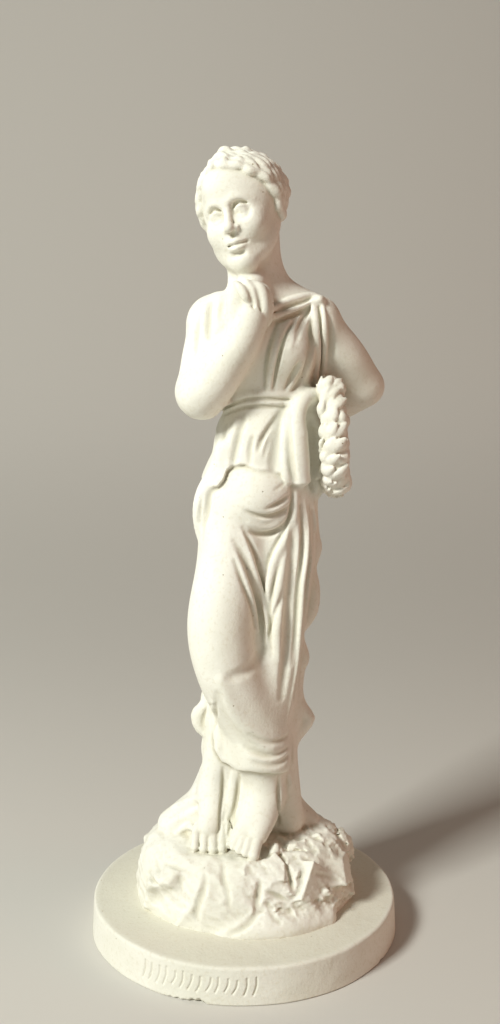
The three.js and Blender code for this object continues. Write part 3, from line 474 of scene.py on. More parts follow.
# Crevices between the lumps.
for line, r, deep in (
    ([(-14.4, 35), (-14.2, 32), (-15.8, 27.6), (-17.2, 24), (-17.6, 18)], 1.5, 1.6),
    ([(-7.9, 37), (-7.2, 33), (-5.8, 29.4), (-5.4, 25)], 1.1, 0.9),
    ([(-5.6, 14.8), (-0.6, 17.6), (4, 21), (7.4, 25)], 1.2, 1.3),
    ([(6.4, 34), (5.6, 29), (4.4, 23)], 1.5, 1.7),
    ([(7.6, 30.2), (12, 28), (17, 25)], 1.2, 1.5), ([(17, 35.4), (18.2, 32), (18.6, 29)], 1.4, 2.2),
    ([(28.4, 34.6), (33, 31.6), (38, 28)], 0.8, 0.6), ([(27.8, 32.4), (32, 29.6), (36.4, 26.8)], 0.8, 0.6),
    ([(-29.9, 34), (-26, 35), (-22, 34.4)], 1, 0.8), ([(-37, 28.4), (-34, 30), (-31, 28)], 1, 0.8),
    ([(-24, 32), (-23.4, 28)], 0.9, 0.8), ([(9, 25), (10.4, 21.6), (13.6, 19)], 0.8, 0.8),
):
    groove(line, r, deep, 1.1)
tell("rock")

# %% [markdown]
# ## The hands and feet
#
# A hand is a palm and five bent rolls. Each finger has three lengths, each a little thinner than
# the last, and the rolls are joined softly enough that the gaps between them stay as creases.

# %% Feet with toes
def toe(root, tip, size):
    """A toe: from its root over a knuckle to a rounded tip."""
    r, t = np.array(root, float), np.array(tip, float)
    knuckle = (r + t) / 2 + np.array([0, -0.4, 0.5])
    clay.add(limb([(*r, size * 0.95), (*knuckle, size), (*t, size * 0.86)], None, 0.8), 0.55)
    clay.add(ball(t, size * 0.98), 0.4)

# Her right foot, crossed in front, with its toes over the edge of the rock. A swelling of
# the stone fills the hollow under its arch.
clay.add(egg((-14, -6, 40), (7, 10, 5.5)), 2)
roll([(-6, -3, 82, 8), (-10.5, -4, 66, 6.2), (-12, -4.5, 57, 5.2)], 3)
roll([(-12, -4.5, 57, 5.2), (-12.4, -8.6, 50, 5.4), (-13.4, -13.4, 45.6, 5)], 3)
roll([(-12, -4, 56, 5), (-11, 2, 45, 5.4)], 3)
for x, z, size in (
    (-18.9, 39.2, 1.55), (-15.4, 38.8, 1.75), (-11.8, 38.6, 1.85), (-8.2, 38.8, 1.9), (-5.2, 40.2, 1.5),
):
    toe((x * 0.86 - 1.8, -13.6, 46), (x, -19.4 + abs(x + 12) * 0.14, z), size)
# Her left foot, flat on the rock.
roll([(6, -9, 80, 10), (8, -9, 66, 8.3), (8.6, -9, 57, 7)], 3)
roll([(8.4, -9, 57, 7), (7.4, -13.6, 50.6, 5.9), (5.4, -19.4, 45, 4)], 3)
roll([(7, -10, 55, 6), (2.6, -14.6, 48.6, 4.9), (-1.4, -18.4, 44, 3.2)], 3)
roll([(8.6, -8, 56, 6), (9.4, 0, 45, 6)], 3)
for root, tip, size in (
    ((5.8, -19, 44.6), (3.8, -26, 39.8), 2.3), ((3, -19, 45), (0.8, -25.6, 40.4), 1.7),
    ((0.9, -18.6, 45), (-1.7, -24.4, 40.9), 1.6), ((-0.9, -17.4, 45), (-3.9, -22.6, 41.4), 1.5),
    ((-2.4, -16, 45), (-5.8, -20.4, 41.6), 1.35),
):
    toe(root, tip, size)
tell("feet")

# %% Her right hand, loosely closed at the throat
def finger(joints, thick):
    """Bent rolls through a finger's joints, each a little thinner than the last."""
    clay.add(limb([(*p, t) for p, t in zip(joints, thick)], None, 0.8), 0.5)

clay.add(egg((2.6, -16, 245), (6.2, 5.2, 7.6)), 2.5)
# Fingers from behind to the front: the little finger's side is hidden by the others.
finger([(4.6, -13.5, 250.6), (8, -13, 248.6), (9, -12.6, 243)], (2, 2.1, 1.9))
finger([(4.6, -16.8, 251.4), (8, -16.6, 249.2), (9, -16, 244.2), (8.6, -15.4, 239)], (2, 2.2, 2.1, 1.8))
finger(
    [(3.6, -18.6, 251.8), (6.4, -19.4, 249.6), (7.6, -19.2, 244.4), (7.3, -18.4, 239.6), (6, -17.6, 234.6)],
    (1.8, 2.2, 2.2, 2.1, 1.6),
)
finger(
    [(1.4, -19.6, 252.4), (3.4, -20.6, 249.4), (4.5, -20.4, 245), (4.6, -19.4, 240), (4, -18.4, 235)],
    (1.4, 1.6, 1.6, 1.5, 1.2),
)
# The back of the thumb runs up from the wrist, and its tip lies across the first finger.
roll([(-2.4, -16.4, 238, 4), (-2.6, -17.4, 245, 3.6), (-2.4, -18, 250.6, 2.6)], 1.2)
finger([
    (-2.4, -20.4, 252.2), (-0.6, -21.4, 250), (0.9, -21.6, 247.6), (1.8, -21, 245.8),
], (1, 1.7, 1.75, 1.2))
clay.carve(limb([
    (0.6, -23.2, 252.6, 0.45), (2.3, -22.8, 249.6, 0.6), (3.2, -22.4, 246, 0.6), (3.6, -21.4, 242, 0.4),
]), 0.7)
clay.carve(limb([
    (4.9, -21.8, 249.6, 0.4), (6, -21.6, 245.4, 0.55), (5.9, -20.6, 240.6, 0.5), (5, -19.4, 236, 0.35),
]), 0.7)
clay.rub(1, 1, (-6, -26, 230), (13, -9, 255))
tell("right hand")

# %% [markdown]
# ## The head
#
# The face follows the sculptor's rule of thirds: hairline to brow, brow to the base of the nose,
# and nose to chin are equal, the eyes lie on the middle line of the whole head, and one eye's
# width fits between them. It is built upright, in its own frame, and a turn matrix sets its tilt.

# %% The head's own frame
def turned(z_turn, y_turn, x_turn):
    cz, cy, cx = [math.cos(math.radians(a)) for a in (z_turn, y_turn, x_turn)]
    sz, sy, sx = [math.sin(math.radians(a)) for a in (z_turn, y_turn, x_turn)]
    about_z = np.array([[cz, -sz, 0], [sz, cz, 0], [0, 0, 1]])
    about_y = np.array([[cy, 0, sy], [0, 1, 0], [-sy, 0, cy]])
    about_x = np.array([[1, 0, 0], [0, cx, -sx], [0, sx, cx]])
    return about_z @ about_y @ about_x


HEAD_TURN = turned(-21, -14, 6)  # turned to her right, leaning the same way, and a little bowed
HEAD_MIDDLE = np.array([-0.8, -1.5, 278.8])


def on_head(point):
    return (*(HEAD_TURN @ np.array(point[:3], float) + HEAD_MIDDLE), *point[3:])


def head_egg(centre, radii):
    return egg(on_head(centre), radii, HEAD_TURN.T)


def head_limb(stations, spacing=1.0):
    return limb([on_head(s) for s in stations], None, spacing)


def both_sides(make):
    for s in (-1, 1):
        make(s)

# %% Skull, face and eyes
clay.add(head_egg((0, 2, 5), (14, 16.5, 15.5)), 1)
clay.add(head_egg((0, -3.2, -5), (11.2, 11.8, 14.4)), 5)
both_sides(lambda s: clay.add(head_limb([
    (9.4 * s, 1, -7, 3.4), (7.6 * s, -4, -13, 3), (2.6 * s, -10, -17.4, 2.8),
]), 4))
clay.add(ball(on_head((0, -11.4, -17.6)), 3.1), 4)
both_sides(lambda s: clay.add(ball(on_head((6.2 * s, -9.6, -5.6)), 4.2), 4))
# Forehead, brow ridge and the hollows under it.
clay.add(head_egg((0, -7.4, 8), (9.6, 7.6, 8)), 5)
both_sides(lambda s: clay.add(head_limb([
    (8.2 * s, -10.4, 2.4, 1.3), (4.6 * s, -13.2, 3.7, 1.5), (1.6 * s, -14, 3.1, 1.4),
]), 2.4))
both_sides(lambda s: clay.carve(head_egg((4.9 * s, -15.2, -0.2), (3.5, 3.2, 2.5)), 2.2))
# The nose: bridge, ball and wings, with two shallow nostrils.
clay.add(head_limb([(0, -13.6, 3, 1.3), (0, -15.4, -1, 1.25), (0, -17.3, -4.8, 1.5)]), 1.4)
clay.add(ball(on_head((0, -17.2, -5.6)), 1.75), 1)
both_sides(lambda s: clay.add(head_egg((1.9 * s, -15.4, -6.1), (1.15, 1.7, 1.25)), 0.9))
both_sides(lambda s: clay.carve(ball(on_head((0.95 * s, -16.2, -7.6)), 0.6), 0.7))
# Eyes: the ball, then a thin upper and lower lid round it.
for s in (-1, 1):
    clay.add(head_egg((4.8 * s, -11.4, -0.6), (2.9, 2.7, 2.4)), 0.7)
    upper = (
        (2.3 * s, -12.5, -0.9, 0.55), (3.5 * s, -13.7, 0.6, 0.7), (5 * s, -13.9, 1, 0.74),
        (6.6 * s, -12.9, 0.4, 0.66), (7.7 * s, -11.2, -1, 0.5),
    )
    lower = (
        (2.4 * s, -12.6, -1.1, 0.5), (3.6 * s, -13.3, -2.2, 0.55), (5 * s, -13.4, -2.6, 0.6),
        (6.4 * s, -12.6, -2.1, 0.52), (7.4 * s, -11.4, -1.2, 0.45),
    )
    clay.add(head_limb(upper, 0.7), 0.6)
    clay.add(head_limb(lower, 0.7), 0.6)
    crease = [(2.8 * s, -13.3, 1.6, 0.45), (4.9 * s, -14.2, 2.5, 0.5), (7.2 * s, -12.4, 1.5, 0.45)]
    clay.carve(head_limb(crease, 0.7), 0.8)
tell("face")

# %% Mouth and chin
clay.add(head_egg((0, -11.6, -11.4), (5, 3.6, 3.8)), 2.5)
clay.carve(head_limb([(0, -15.4, -8.2, 0.6), (0, -15.8, -9.8, 0.6)]), 0.9)
for s in (-1, 1):
    upper_lip = [
        (3.8 * s, -13.2, -11.3, 0.4), (2.3 * s, -14.7, -10.8, 0.75), (0.8 * s, -15.5, -10.4, 0.9),
        (0, -15.5, -10.7, 0.85),
    ]
    clay.add(head_limb(upper_lip, 0.7), 0.8)
    clay.add(head_limb([
        (3.4 * s, -13.3, -11.9, 0.4), (1.9 * s, -14.6, -12.7, 0.9), (0, -15, -13, 1.1),
    ], 0.7), 0.8)
parting = [
    (-4.1, -13.5, -11.6, 0.4), (-1.6, -15.6, -11.7, 0.42), (0, -16.1, -11.9, 0.42),
    (1.6, -15.6, -11.7, 0.42), (4.1, -13.5, -11.6, 0.4),
]
clay.carve(head_limb(parting, 0.7), 0.7)
clay.carve(head_limb([(-1.8, -14.6, -15, 0.6), (0, -15, -15.1, 0.7), (1.8, -14.6, -15, 0.6)], 0.7), 1.4)
tell("mouth")

# %% [markdown]
# The hair is set in rows of short locks round the face, each like a small bent leaf whose tip lies
# over the root of the next, and from there it is combed back in waves to a low knot. A cap of clay
# gives the mass. Every lock is two strands side by side, pressed on the skin of the cap, and its
# tip stands a little off, because it is the small shadow under the tip that makes it read as hair.

# %% Hair
HAIRLINE = (  # from the middle of the brow to below her left ear, in the head's own frame
    (0, -10.6, 16.8), (4.4, -10.6, 15.4), (8.4, -8.8, 12.6), (11.2, -6.4, 8.6), (12.9, -3.8, 4.2),
    (13.8, -0.8, 0), (13.6, 2.4, -4.4),
)


def lock(middle, along, back, long, width, high):
    """A bent lock of two strands: its root lies back, and its tip is turned to the face."""
    across = np.cross(along, middle / np.linalg.norm(middle))
    for side in (-0.42, 0.42):
        path = np.array([
            middle - along * 0.5 * long + back * 0.02 * long,
            middle - along * 0.2 * long + back * 0.2 * long,
            middle + along * 0.2 * long + back * 0.16 * long,
            middle + along * 0.5 * long - back * 0.1 * long,
        ]) + across * width * side * np.array([0.6, 1, 0.9, 0.2])[:, None]
        seat = pressed([on_head(p) for p in path], np.array([-0.6, 0.1, 0.5, 0.45]) * high)
        clay.add(limb(np.column_stack([seat, np.array([0.5, 0.62, 0.56, 0.3]) * width]), None, 1), 0.3)

clay.add(head_egg((0, 6, 4.8), (15.2, 15.6, 15.6)), 1)
line = smooth([(*p, 0) for p in HAIRLINE], 1)[:, :3]
way = np.concatenate([[0], np.cumsum(np.linalg.norm(np.diff(line, axis=0), axis=1))])
chance = np.random.default_rng(5)
back = np.array([0, 0.92, 0.39])
for row in (3, 2, 1, 0):
    for at in np.arange(0.6 + 2.2 * (row % 2), way[-1] - 0.6 - 1.5 * row, 4.9):
        at = at + chance.uniform(-0.5, 0.5)
        middle = np.array([np.interp(at, way, line[:, k]) for k in range(3)]) + back * (4.1 * row + 0.9)
        ahead = np.array([np.interp(at + 1, way, line[:, k]) for k in range(3)]) + back * (4.1 * row + 0.9)
        along = (ahead - middle) / np.linalg.norm(ahead - middle)
        long, width = chance.uniform(6, 7.4), chance.uniform(2.7, 3.3)
        for s in (1, -1):
            flip = np.array([s, 1, 1])
            # On her right side the locks lie flatter, and so do those on the crown.
            high = (3.1 if row < 2 else 2.2) if s > 0 else 1.3
            high *= np.interp(at, (0, 9), (0.45, 1))
            lock(middle * flip, along * flip, back, long, width * (1 if s > 0 else 0.9), high)
# Waves combed back over the crown to the knot.
for x in (-12, -9, -6, -3, 0, 3, 6, 9, 12):
    top = 21.4 - x * x * 0.05
    track = [
        (x * 0.8, 2, top - 0.4), (x, 7, top - 0.8), (x * 0.98, 13, top - 4), (x * 0.8, 18.4, top - 10.5),
        (x * 0.45, 20.6, top * 0.1 - 1),
    ]
    wave = [(px + 0.8 * math.sin(i * 2.1 + x), py, pz) for i, (px, py, pz) in enumerate(track)]
    seat = pressed([on_head(p) for p in smooth([(*p, 0) for p in wave], 2)[:, :3]], [-0.5] * 99)
    clay.add(limb([(*p, 1.3) for p in seat], None, 9), 0.5)
clay.add(head_egg((0, 20.4, -2), (6.6, 5, 6)), 1)
for i in range(7):
    a = i * math.tau / 7
    strand = [
        (1.5 * math.cos(a), 25, -2 + 1.5 * math.sin(a), 0.9),
        (5 * math.cos(a + 0.5), 23.6, -2 + 4.6 * math.sin(a + 0.5), 1.3),
        (6.4 * math.cos(a + 1), 20, -2 + 5.8 * math.sin(a + 1), 0.8),
    ]
    clay.add(head_limb(strand), 0.4)
tell("hair")

# %% [markdown]
# ## The dress
#
# She wears a thin tunic, pinned on her left shoulder and belted, which ends over the hips, and a
# heavier mantle round the legs. Their lower edges are a real thickness of clay outside the body, so
# each throws a thin shadow. Every fold after that is a line drawn on the skin from the front.

# %% The two lower edges
HEM = (
    (-20, 176.5), (-13.3, 177), (-9.5, 178), (-7.4, 180.4), (-6.1, 184), (-3.9, 185.6), (0.6, 186.2),
    (2.8, 185.2),
    (5.7, 184.1), (11.6, 183.8), (13.8, 183), (15.6, 179), (20.7, 178.4), (23.9, 178.8), (28, 180),
)
MANTLE_EDGE = (
    (-13, 84), (-11.9, 80.7), (-11.3, 75.1), (-8.4, 70.5), (-3, 68.7), (2.4, 69.8), (9.3, 69.2),
    (14.7, 67.8), (18, 67.6),
)


def edge_height(edge, x):
    return np.interp(x, [p[0] for p in edge], [p[1] for p in edge])


def tunic_skirt(x, y, z):
    height = np.where(y > 2, 179 + 1.6 * np.sin(x * 0.4), edge_height(HEM, x))
    thick = 1.9 * np.clip((206 - z) / 8, 0, 1) * (0.3 + 0.7 * np.clip((x + 15) / 6, 0, 1))
    return np.where(x > 31, 0, thick * np.clip((z - height) / 1.2, 0, 1))


def mantle_hem(x, y, z):
    above = z - edge_height(MANTLE_EDGE, x)
    front = np.clip((2 - y) / 4, 0, 1) * np.clip((x + 12.5) / 2, 0, 1) * np.clip((19 - x) / 2, 0, 1)
    return front * 1.9 * np.clip(above / 1.2, 0, 1) * np.clip((12 - above) / 9, 0, 1)

# %% Tunic above the belt
# Gathers of the sleeve, run over her right shoulder.
for x, z, r in ((-9.4, 248.6, 2.2), (-14.2, 245.6, 2.4), (-18, 240.4, 2)):
    roll([
        (x, -9, z - 11, r * 0.6), (x + 0.4, -5, z - 3.4, r), (x, 2, z - 1.2, r), (x, 9, z - 5, r * 0.8),
    ], 2.2)
for line in ([
    (-11.8, 246), (-12.6, 240), (-12.6, 233),
], [(-16.2, 241), (-17, 235), (-17.4, 228)], [(-7.6, 246), (-8.6, 240)]):
    groove(line, 1.1, 0.7, 1.2)
# The neckline's two bands, drawn up to the pin.
fold([(10, 242.6), (15.3, 246.2), (20.9, 247.9), (28, 249.8)], 1.6, 1.3, 0.7)
fold([(10.4, 240.2), (17.1, 243), (22.3, 245), (28, 247.6)], 1.6, 1.4, 0.7)
groove([(11, 242.6), (17.9, 245), (22.8, 246.6), (27, 248.2)], 1, 1.2, 0.8)
groove([(10.2, 238.2), (17, 240.8), (21.9, 242.9), (27, 245.8)], 1.1, 1.8, 0.7)
# Folds that fan out from the pin and the neckline to the belt.
groove([(12.2, 238.5), (10.4, 232.8), (9, 226.7), (8.3, 220.5), (7.9, 214)], 1, 1.1, 0.9)
groove([
    (19.6, 240.4), (16.2, 236.4), (14, 231.3), (12.6, 225.9), (11.6, 220.5), (10.9, 213.6),
], 1.2, 1.9, 0.8)
groove([(25.4, 245), (22.8, 241), (20.6, 236.8), (18.6, 231.4)], 1.2, 1.9, 0.8)
groove([(25.9, 240), (25.6, 235.6), (25.4, 230.1), (24.1, 224), (21.8, 219), (18.4, 214)], 2.3, 2.9, 1.4)
groove([(20.6, 224.4), (18.4, 219.6), (15.4, 214)], 1.3, 1.9, 0.8)
fold([(22.6, 226), (21, 221), (18.4, 216.6), (16.4, 213.6)], 1.1, 1, 0.7)
fold([(17, 239), (14.2, 234), (11.6, 227), (10.2, 220), (9.6, 214)], 1.4, 0.9, 1)
fold([(22.4, 240), (19.4, 235), (16.8, 229)], 1.4, 1, 1)
# Two folds that hang straight down from the pin, and the deep gap beside them.
clay.carve(limb([
    (32.2, -5, 243, 0.8), (32.4, -3, 234, 1.7), (32.9, -1, 226, 2.2), (33.2, 0, 219, 2.4),
]), 1.2)
fold([(25.8, 246.4), (26.8, 238.4), (27.4, 230.3), (27.8, 222.8), (27.4, 215.5)], 1.7, 1.6, 0.7)
fold([(29.2, 247.6), (29.9, 238.7), (30.4, 230.3), (30.9, 220)], 1.2, 1.7, 0.6)
groove([(28, 245.5), (28.6, 237.6), (29.1, 229.2), (29.4, 217)], 0.8, 1.6, 0.5)
clay.add(egg((28.2, -1.8, 247.2), (2, 3.2, 1.7)), 2)
tell("tunic")

# %% Belt and tunic skirt
clay.swell((-30, -30, 170), (40, 30, 208), tunic_skirt)
fold([(-8, 208.4), (-5.6, 209.2), (0.6, 211.9), (7.9, 212.5), (17.2, 212), (26, 212)], 1.7, 0.8, 1.0)
fold([(-7, 205.6), (-4.3, 206.8), (0.6, 209.2), (6.8, 209.5), (15.3, 208.9), (20, 208.8)], 1.4, 0.7, 1.0)
groove([(-7, 207), (-5.1, 208), (0.6, 210.7), (6.8, 211), (15.3, 210.5), (25.1, 210.6)], 0.8, 0.7, 0.6)
groove([(-7, 204.8), (-5.8, 205.6), (0.6, 207.8), (6.8, 208.1), (13.5, 207.7), (19, 207.8)], 0.9, 0.9, 0.7)
for z in (211.4, 207.6):
    fold([(12, z - 1), (0, z), (-12, z - 0.6), (-24, z - 2)], 1.7, 1.2, 0.8, BACK)
# Creases of the skirt.
groove([(13.8, 206.2), (10.1, 201.2), (7.2, 196.9), (5.2, 192)], 1.2, 1.5, 0.9)
groove([(12, 201.2), (9.4, 196.1), (7.6, 189.6)], 0.9, 1, 0.7)
groove([(0.2, 205), (-1.3, 198.5), (-3.1, 191.8), (-3.9, 186.8)], 1.6, 1.1, 1.4)
groove([(3.5, 197.2), (2.4, 192.8), (2.1, 187.2)], 1.1, 0.7, 1)
groove([(-6.5, 200.9), (-8, 195.3), (-9.4, 186)], 1.4, 0.8, 1.2)
groove([(15, 206.5), (13.1, 199.3), (12, 192.1), (11, 184.6)], 2.6, 1.9, 2)
fold([(-2.4, 203), (-5, 194), (-6, 187)], 1.6, 0.7, 1.4)
# The thick fold on her left hip, and the deep pocket between it and the wreath.
roll([
    (28, -4, 212, 2.6), (23, -8.6, 210.8, 2.7), (20.2, -11.4, 205.5, 2.9), (19.8, -12.8, 196.3, 3.2),
    (20.6, -13.4, 188.3, 3), (22, -12.6, 180.6, 1.8),
], 4)
clay.carve(limb([
    (25.8, -9, 205.5, 1.4), (25.2, -8.4, 198.8, 2.9), (25.3, -8.4, 191.3, 3.1), (25.9, -8, 184.3, 2.8),
    (27, -7, 177.5, 2),
]), 1.2)
groove([(16.6, 205), (16.7, 196.3), (17.6, 188.3), (19, 180.6)], 1.3, 1.3, 1.2)
fold([(14.9, 203), (14.8, 192.5), (15.6, 184.7), (16.9, 179.6)], 1.3, 1, 1)
# The tail of cloth that hangs at her right hip.
roll([
    (-6.6, -8, 191, 4.4), (-9, -8, 183.4, 4.4), (-13.4, -7.8, 175.6, 4.4), (-15.4, -7.4, 169, 3.9),
    (-16.2, -6.5, 162.6, 2.7), (-16.4, -6, 158.8, 1.6),
], 1.6)
groove([
    (-9.4, 178), (-12.5, 176.8), (-13.2, 172), (-13.6, 167.9), (-15.2, 163.6), (-15.4, 158.6),
], 1.1, 0.9, 1.1)
groove([(-15.2, 175), (-16.2, 170), (-16.6, 164)], 0.8, 0.7, 0.8)
tell("belt and tunic skirt")

# %% Mantle
clay.add(egg((5.6, -8.6, 174.5), (13.5, 11.5, 12.6)), 3)
# The apron's swags.
fold([(2.4, 165.6), (6.5, 163.7), (10.8, 163.8), (15.6, 167.6)], 1.7, 1.1, 1.4)
groove([(14.9, 179.9), (11.6, 177.8)], 0.9, 1, 0.8)
groove([(17.4, 175.6), (13.4, 172.9), (8.4, 171)], 1.1, 1.2, 0.9)
groove([(18.3, 172), (13.9, 168.8), (9, 167.6), (4.6, 168.3), (0.6, 170.2)], 1.2, 1.5, 0.9)
groove([(17.3, 166), (14, 162.8), (9.9, 160.7), (5.4, 160.6), (2, 162.2)], 1.1, 1.4, 0.9)
groove([(18, 179), (18.3, 171), (16.6, 163.2), (13.3, 157.5), (10.2, 151.6), (8.8, 145)], 1.4, 1.5, 1)
# Folds that run down between the thighs.
groove([(-3.1, 152), (-0.9, 146.4), (1.3, 140.7), (3.2, 134.2), (4.3, 126.2)], 1.4, 1.1, 1.2)
groove([
    (-3.5, 159.2), (-0.2, 153.6), (2.4, 147.7), (4.3, 140.7), (6.2, 133.2), (7.3, 125.8), (7.9, 116),
], 1.7, 2, 1)
groove([
    (-0.2, 163.7), (2.4, 158.8), (5, 152.8), (6.6, 144.8), (8.1, 137.2), (9.6, 130.8), (10.5, 123.3),
    (10.3, 114),
], 1.2, 1.5, 0.8)
fold([(-2.7, 153.4), (-0.2, 147.1), (2.4, 139.7), (4.3, 132), (5.3, 124)], 0.9, 0.9, 0.7)
fold([(-0.8, 162), (3, 151.9), (5.3, 144.2), (7.2, 136.1), (8.8, 128.6), (9.2, 118.5)], 1, 1.1, 0.6)
fold([
    (19.8, 175.4), (18.8, 166.8), (15.9, 159.5), (12.5, 153.2), (10.2, 145.9), (9.4, 138.2), (10, 130.2),
], 1.7, 1.5, 1)
groove([(13.3, 147.8), (11.3, 141.7), (10.6, 136), (10.2, 131.5)], 0.8, 0.8, 0.7)
fold([(15.1, 151), (13.7, 143.3), (12.6, 136.1), (11.4, 129)], 1.5, 0.8, 1)
groove([(14.8, 139), (12.6, 131.8), (10.3, 124.6), (9.6, 119)], 1, 1.1, 1)
fold([(13.5, 133.5), (12.7, 126), (12.7, 119.2), (14.1, 112.6)], 2.1, 1.3, 1)
# The soft step under the right knee.
groove([(8.4, 116.6), (4, 112.6), (-1, 110), (-5.6, 109)], 2.2, 0.6, 2.2)
# Her left side: the dress falls straight, in thin ridges.
groove([(18.4, 164), (18.6, 150.8), (17.7, 135.7), (16.9, 120.2), (15.6, 108), (14.4, 98)], 2.4, 2.4, 1.6)
groove([
    (21.3, 171.1), (22.3, 161.7), (22.1, 150.4), (20.9, 139.1), (20, 123.5), (18.4, 109.9),
], 1.3, 1.8, 0.8)
fold([
    (22.9, 172.5), (24.2, 163.4), (23.9, 152.1), (22.6, 142.7), (22.1, 134.9), (21.1, 121.2), (20.2, 110),
    (18.4, 98), (16.6, 88),
], 0.85, 1.2, 0.6)
groove([(25, 170.7), (25.8, 161.4), (25.4, 150), (24.2, 138.5), (23.6, 124.6)], 1.1, 1.7, 0.8)
fold([(26.2, 172), (27.1, 164.4), (27.5, 157)], 0.9, 1.1, 0.6)
fold([(26.4, 148.6), (27, 141.2), (27.6, 134.6)], 1.3, 1.1, 0.9)
right_edge = [
    (25.2, 2, 172, 3), (26.4, 2, 158, 3), (27.6, 2, 152.6, 2.8), (25.6, 2, 145, 2.8), (26.9, 2, 136.5, 2.9),
    (26.5, 2, 129, 2.9),
    (24.2, 2, 124, 2.8), (21, 2, 120, 2.8), (21, 2, 116, 2.8), (23.1, 2, 109, 2.8), (21.4, 2, 104, 2.8),
    (20.1, 2, 92, 3),
    (22.8, 2, 87.5, 3), (25.4, 2, 84, 2.8), (23, 2, 80, 2.8), (19.2, 1, 76, 3), (16.3, 1, 72, 3),
    (15.6, 0, 67.6, 3),
    (16.8, -1, 63.3, 2.8), (16.8, -1, 57.9, 2.8), (16.8, -1, 54, 3), (18.4, 0, 49, 3.2),
]
roll(right_edge, 1.6)
# The flare behind her right knee, and the edge of the mantle in front of it.
left_edge = [
    (-10, 0, 100, 3.4), (-12.7, 0, 95.5, 3), (-15.9, 0, 90, 3), (-18.2, 0, 85.6, 2.8), (-16.8, 0, 81, 2.8),
    (-13.2, 0, 78.2, 2.8), (-14, 0, 74, 2.8), (-14, 0, 71, 2.8), (-12.4, -1, 67, 3), (-12.4, -1, 62, 3.2),
    (-14, 0, 56, 3.4),
]
roll(left_edge, 1.6)
groove([(-12, 97), (-14.4, 90), (-16.2, 84), (-15.8, 79.8)], 0.9, 1, 0.7)
groove([(-10.4, 100), (-10.8, 91), (-11.5, 84), (-12.4, 78)], 1.1, 1.1, 1)
fold([(-11.6, 98), (-13.4, 91), (-15, 83.4)], 1.2, 0.8, 1)
# A soft ridge where the mantle is drawn across from the right thigh to the left shin.
fold([(-8, 108), (-6.4, 101), (-2.6, 93), (4, 85.6), (11, 81)], 2.6, 0.6, 2.6)
groove([(-9.4, 102), (-7.6, 94), (-4, 87), (1.4, 80.4), (9, 76.6)], 2.2, 0.6, 2.2)
clay.swell((-20, -34, 60), (24, 8, 100), mantle_hem)
for line in (
    [(2, 86), (8.6, 82.4), (13.6, 81.4), (17, 82)], [(0.6, 80), (7.6, 77), (13, 76.6), (17.2, 77.8)],
    [(4, 75), (10.6, 73.2), (15, 73.6), (17.6, 75)],
):
    groove(line, 1.1, 0.8, 1.2)
# Cloth between and beside the shins.
groove([(-8.1, 68), (-8.1, 58.4), (-9.1, 49.3), (-9.7, 43)], 1, 1.4, 0.7)
groove([(-1.6, 66.5), (-3, 56.6), (-5.2, 46.3), (-6.8, 39)], 1.1, 1.9, 0.7)
fold([(-4.4, 66), (-5.4, 57), (-7, 47)], 1.4, 0.6, 1)
groove([(13.4, 67), (13.7, 56.4), (13.7, 44.8), (14, 39.4)], 1.1, 1.7, 0.7)
fold([(17.5, 65.5), (18.4, 61.4), (17.9, 56.8)], 1.4, 1.1, 0.9)
for line in (
    [(-18, 54), (-24, 49.6), (-31, 45.6)], [(-18, 49.6), (-24, 45.6), (-30, 42)],
    [(-18.6, 45), (-23, 42), (-27, 39)],
):
    fold(line, 1.4, 0.9, 1.2)
tell("mantle")

# %% The back of the dress
# The mantle hangs from the hips behind, in long uneven folds that open towards the rock.
for across, top, foot, lean, r in (
    (-19, 168, 56, -2, 1.6), (-14, 174, 50, 1, 2.2), (-8.4, 177, 46, 2, 2.6), (-2.4, 176, 46, 1, 2),
    (3.6, 177, 46, -1.4, 2.6), (9.6, 176, 46, -2, 2.2), (15, 172, 48, -1, 2), (19, 166, 56, 1, 1.5),
):
    middle = (top + foot) / 2
    line = [
        (across * 0.9, top), (across * 0.96 + lean, middle + 24), (across - lean * 0.6, middle - 20),
        (across * 1.04 + lean * 0.3, foot),
    ]
    groove(line, r, r * 0.95, 1.8, BACK)
for across, top, foot, lean, r in (
    (-11, 170, 58, 2, 2), (-5.4, 160, 52, -1, 1.8), (0.6, 172, 52, 1, 2.1), (6.6, 164, 56, 1, 1.8),
    (12.4, 168, 56, -1, 1.9),
):
    middle = (top + foot) / 2
    line = [
        (across, top), (across + lean, middle + 20), (across - lean * 0.5, middle - 18),
        (across + lean * 0.4, foot),
    ]
    fold(line, r, 1.1, 1.8, BACK)
# The rolled top of the mantle across the hips.
fold([(-24, 172), (-12, 176.5), (2, 175), (15, 178.5)], 2.2, 1.3, 1.6, BACK)
# The tunic, gathered over the belt behind.
for line in (
    [(-22, 240), (-18, 228), (-14, 214)], [(-12, 242), (-10, 228), (-9, 214)],
    [(-3, 243), (-3, 230), (-4, 214)],
    [(5, 241), (4, 228), (1, 214)], [(11, 236), (9, 226), (6, 214)],
):
    groove(line, 1.5, 1.3, 1.4, BACK)
for x in (-20, -12, -4, 4, 12):
    groove([(x, 204), (x - 1, 194), (x + 0.6, 183)], 1.3, 1, 1.3, BACK)
# The back of her left hand, resting on the hip.
clay.add(egg((12.6, 21.6, 201), (6.6, 4, 5.6)), 2.4)
for i, reach in enumerate((0, 1.2, 0.8, -1.2)):
    z = 204.6 - 2.7 * i
    finger([(11, 23.6, z), (6 - reach * 0.5, 24, z - 0.6), (1.4 - reach, 21.6, z - 1.6)], (1.7, 1.6, 1.3))
finger([(15, 21.6, 206.4), (10.6, 21.8, 208.6), (7, 20.6, 209)], (2, 1.8, 1.4))
for line in ([(-6, 168), (-4, 130), (-8, 96)], [(4, 160), (5, 120), (8, 84)]):
    groove(line, 1.8, 1.3, 1.8, HER_RIGHT)
    groove(line, 1.8, 1.3, 1.8, HER_LEFT)
tell("back of the dress")

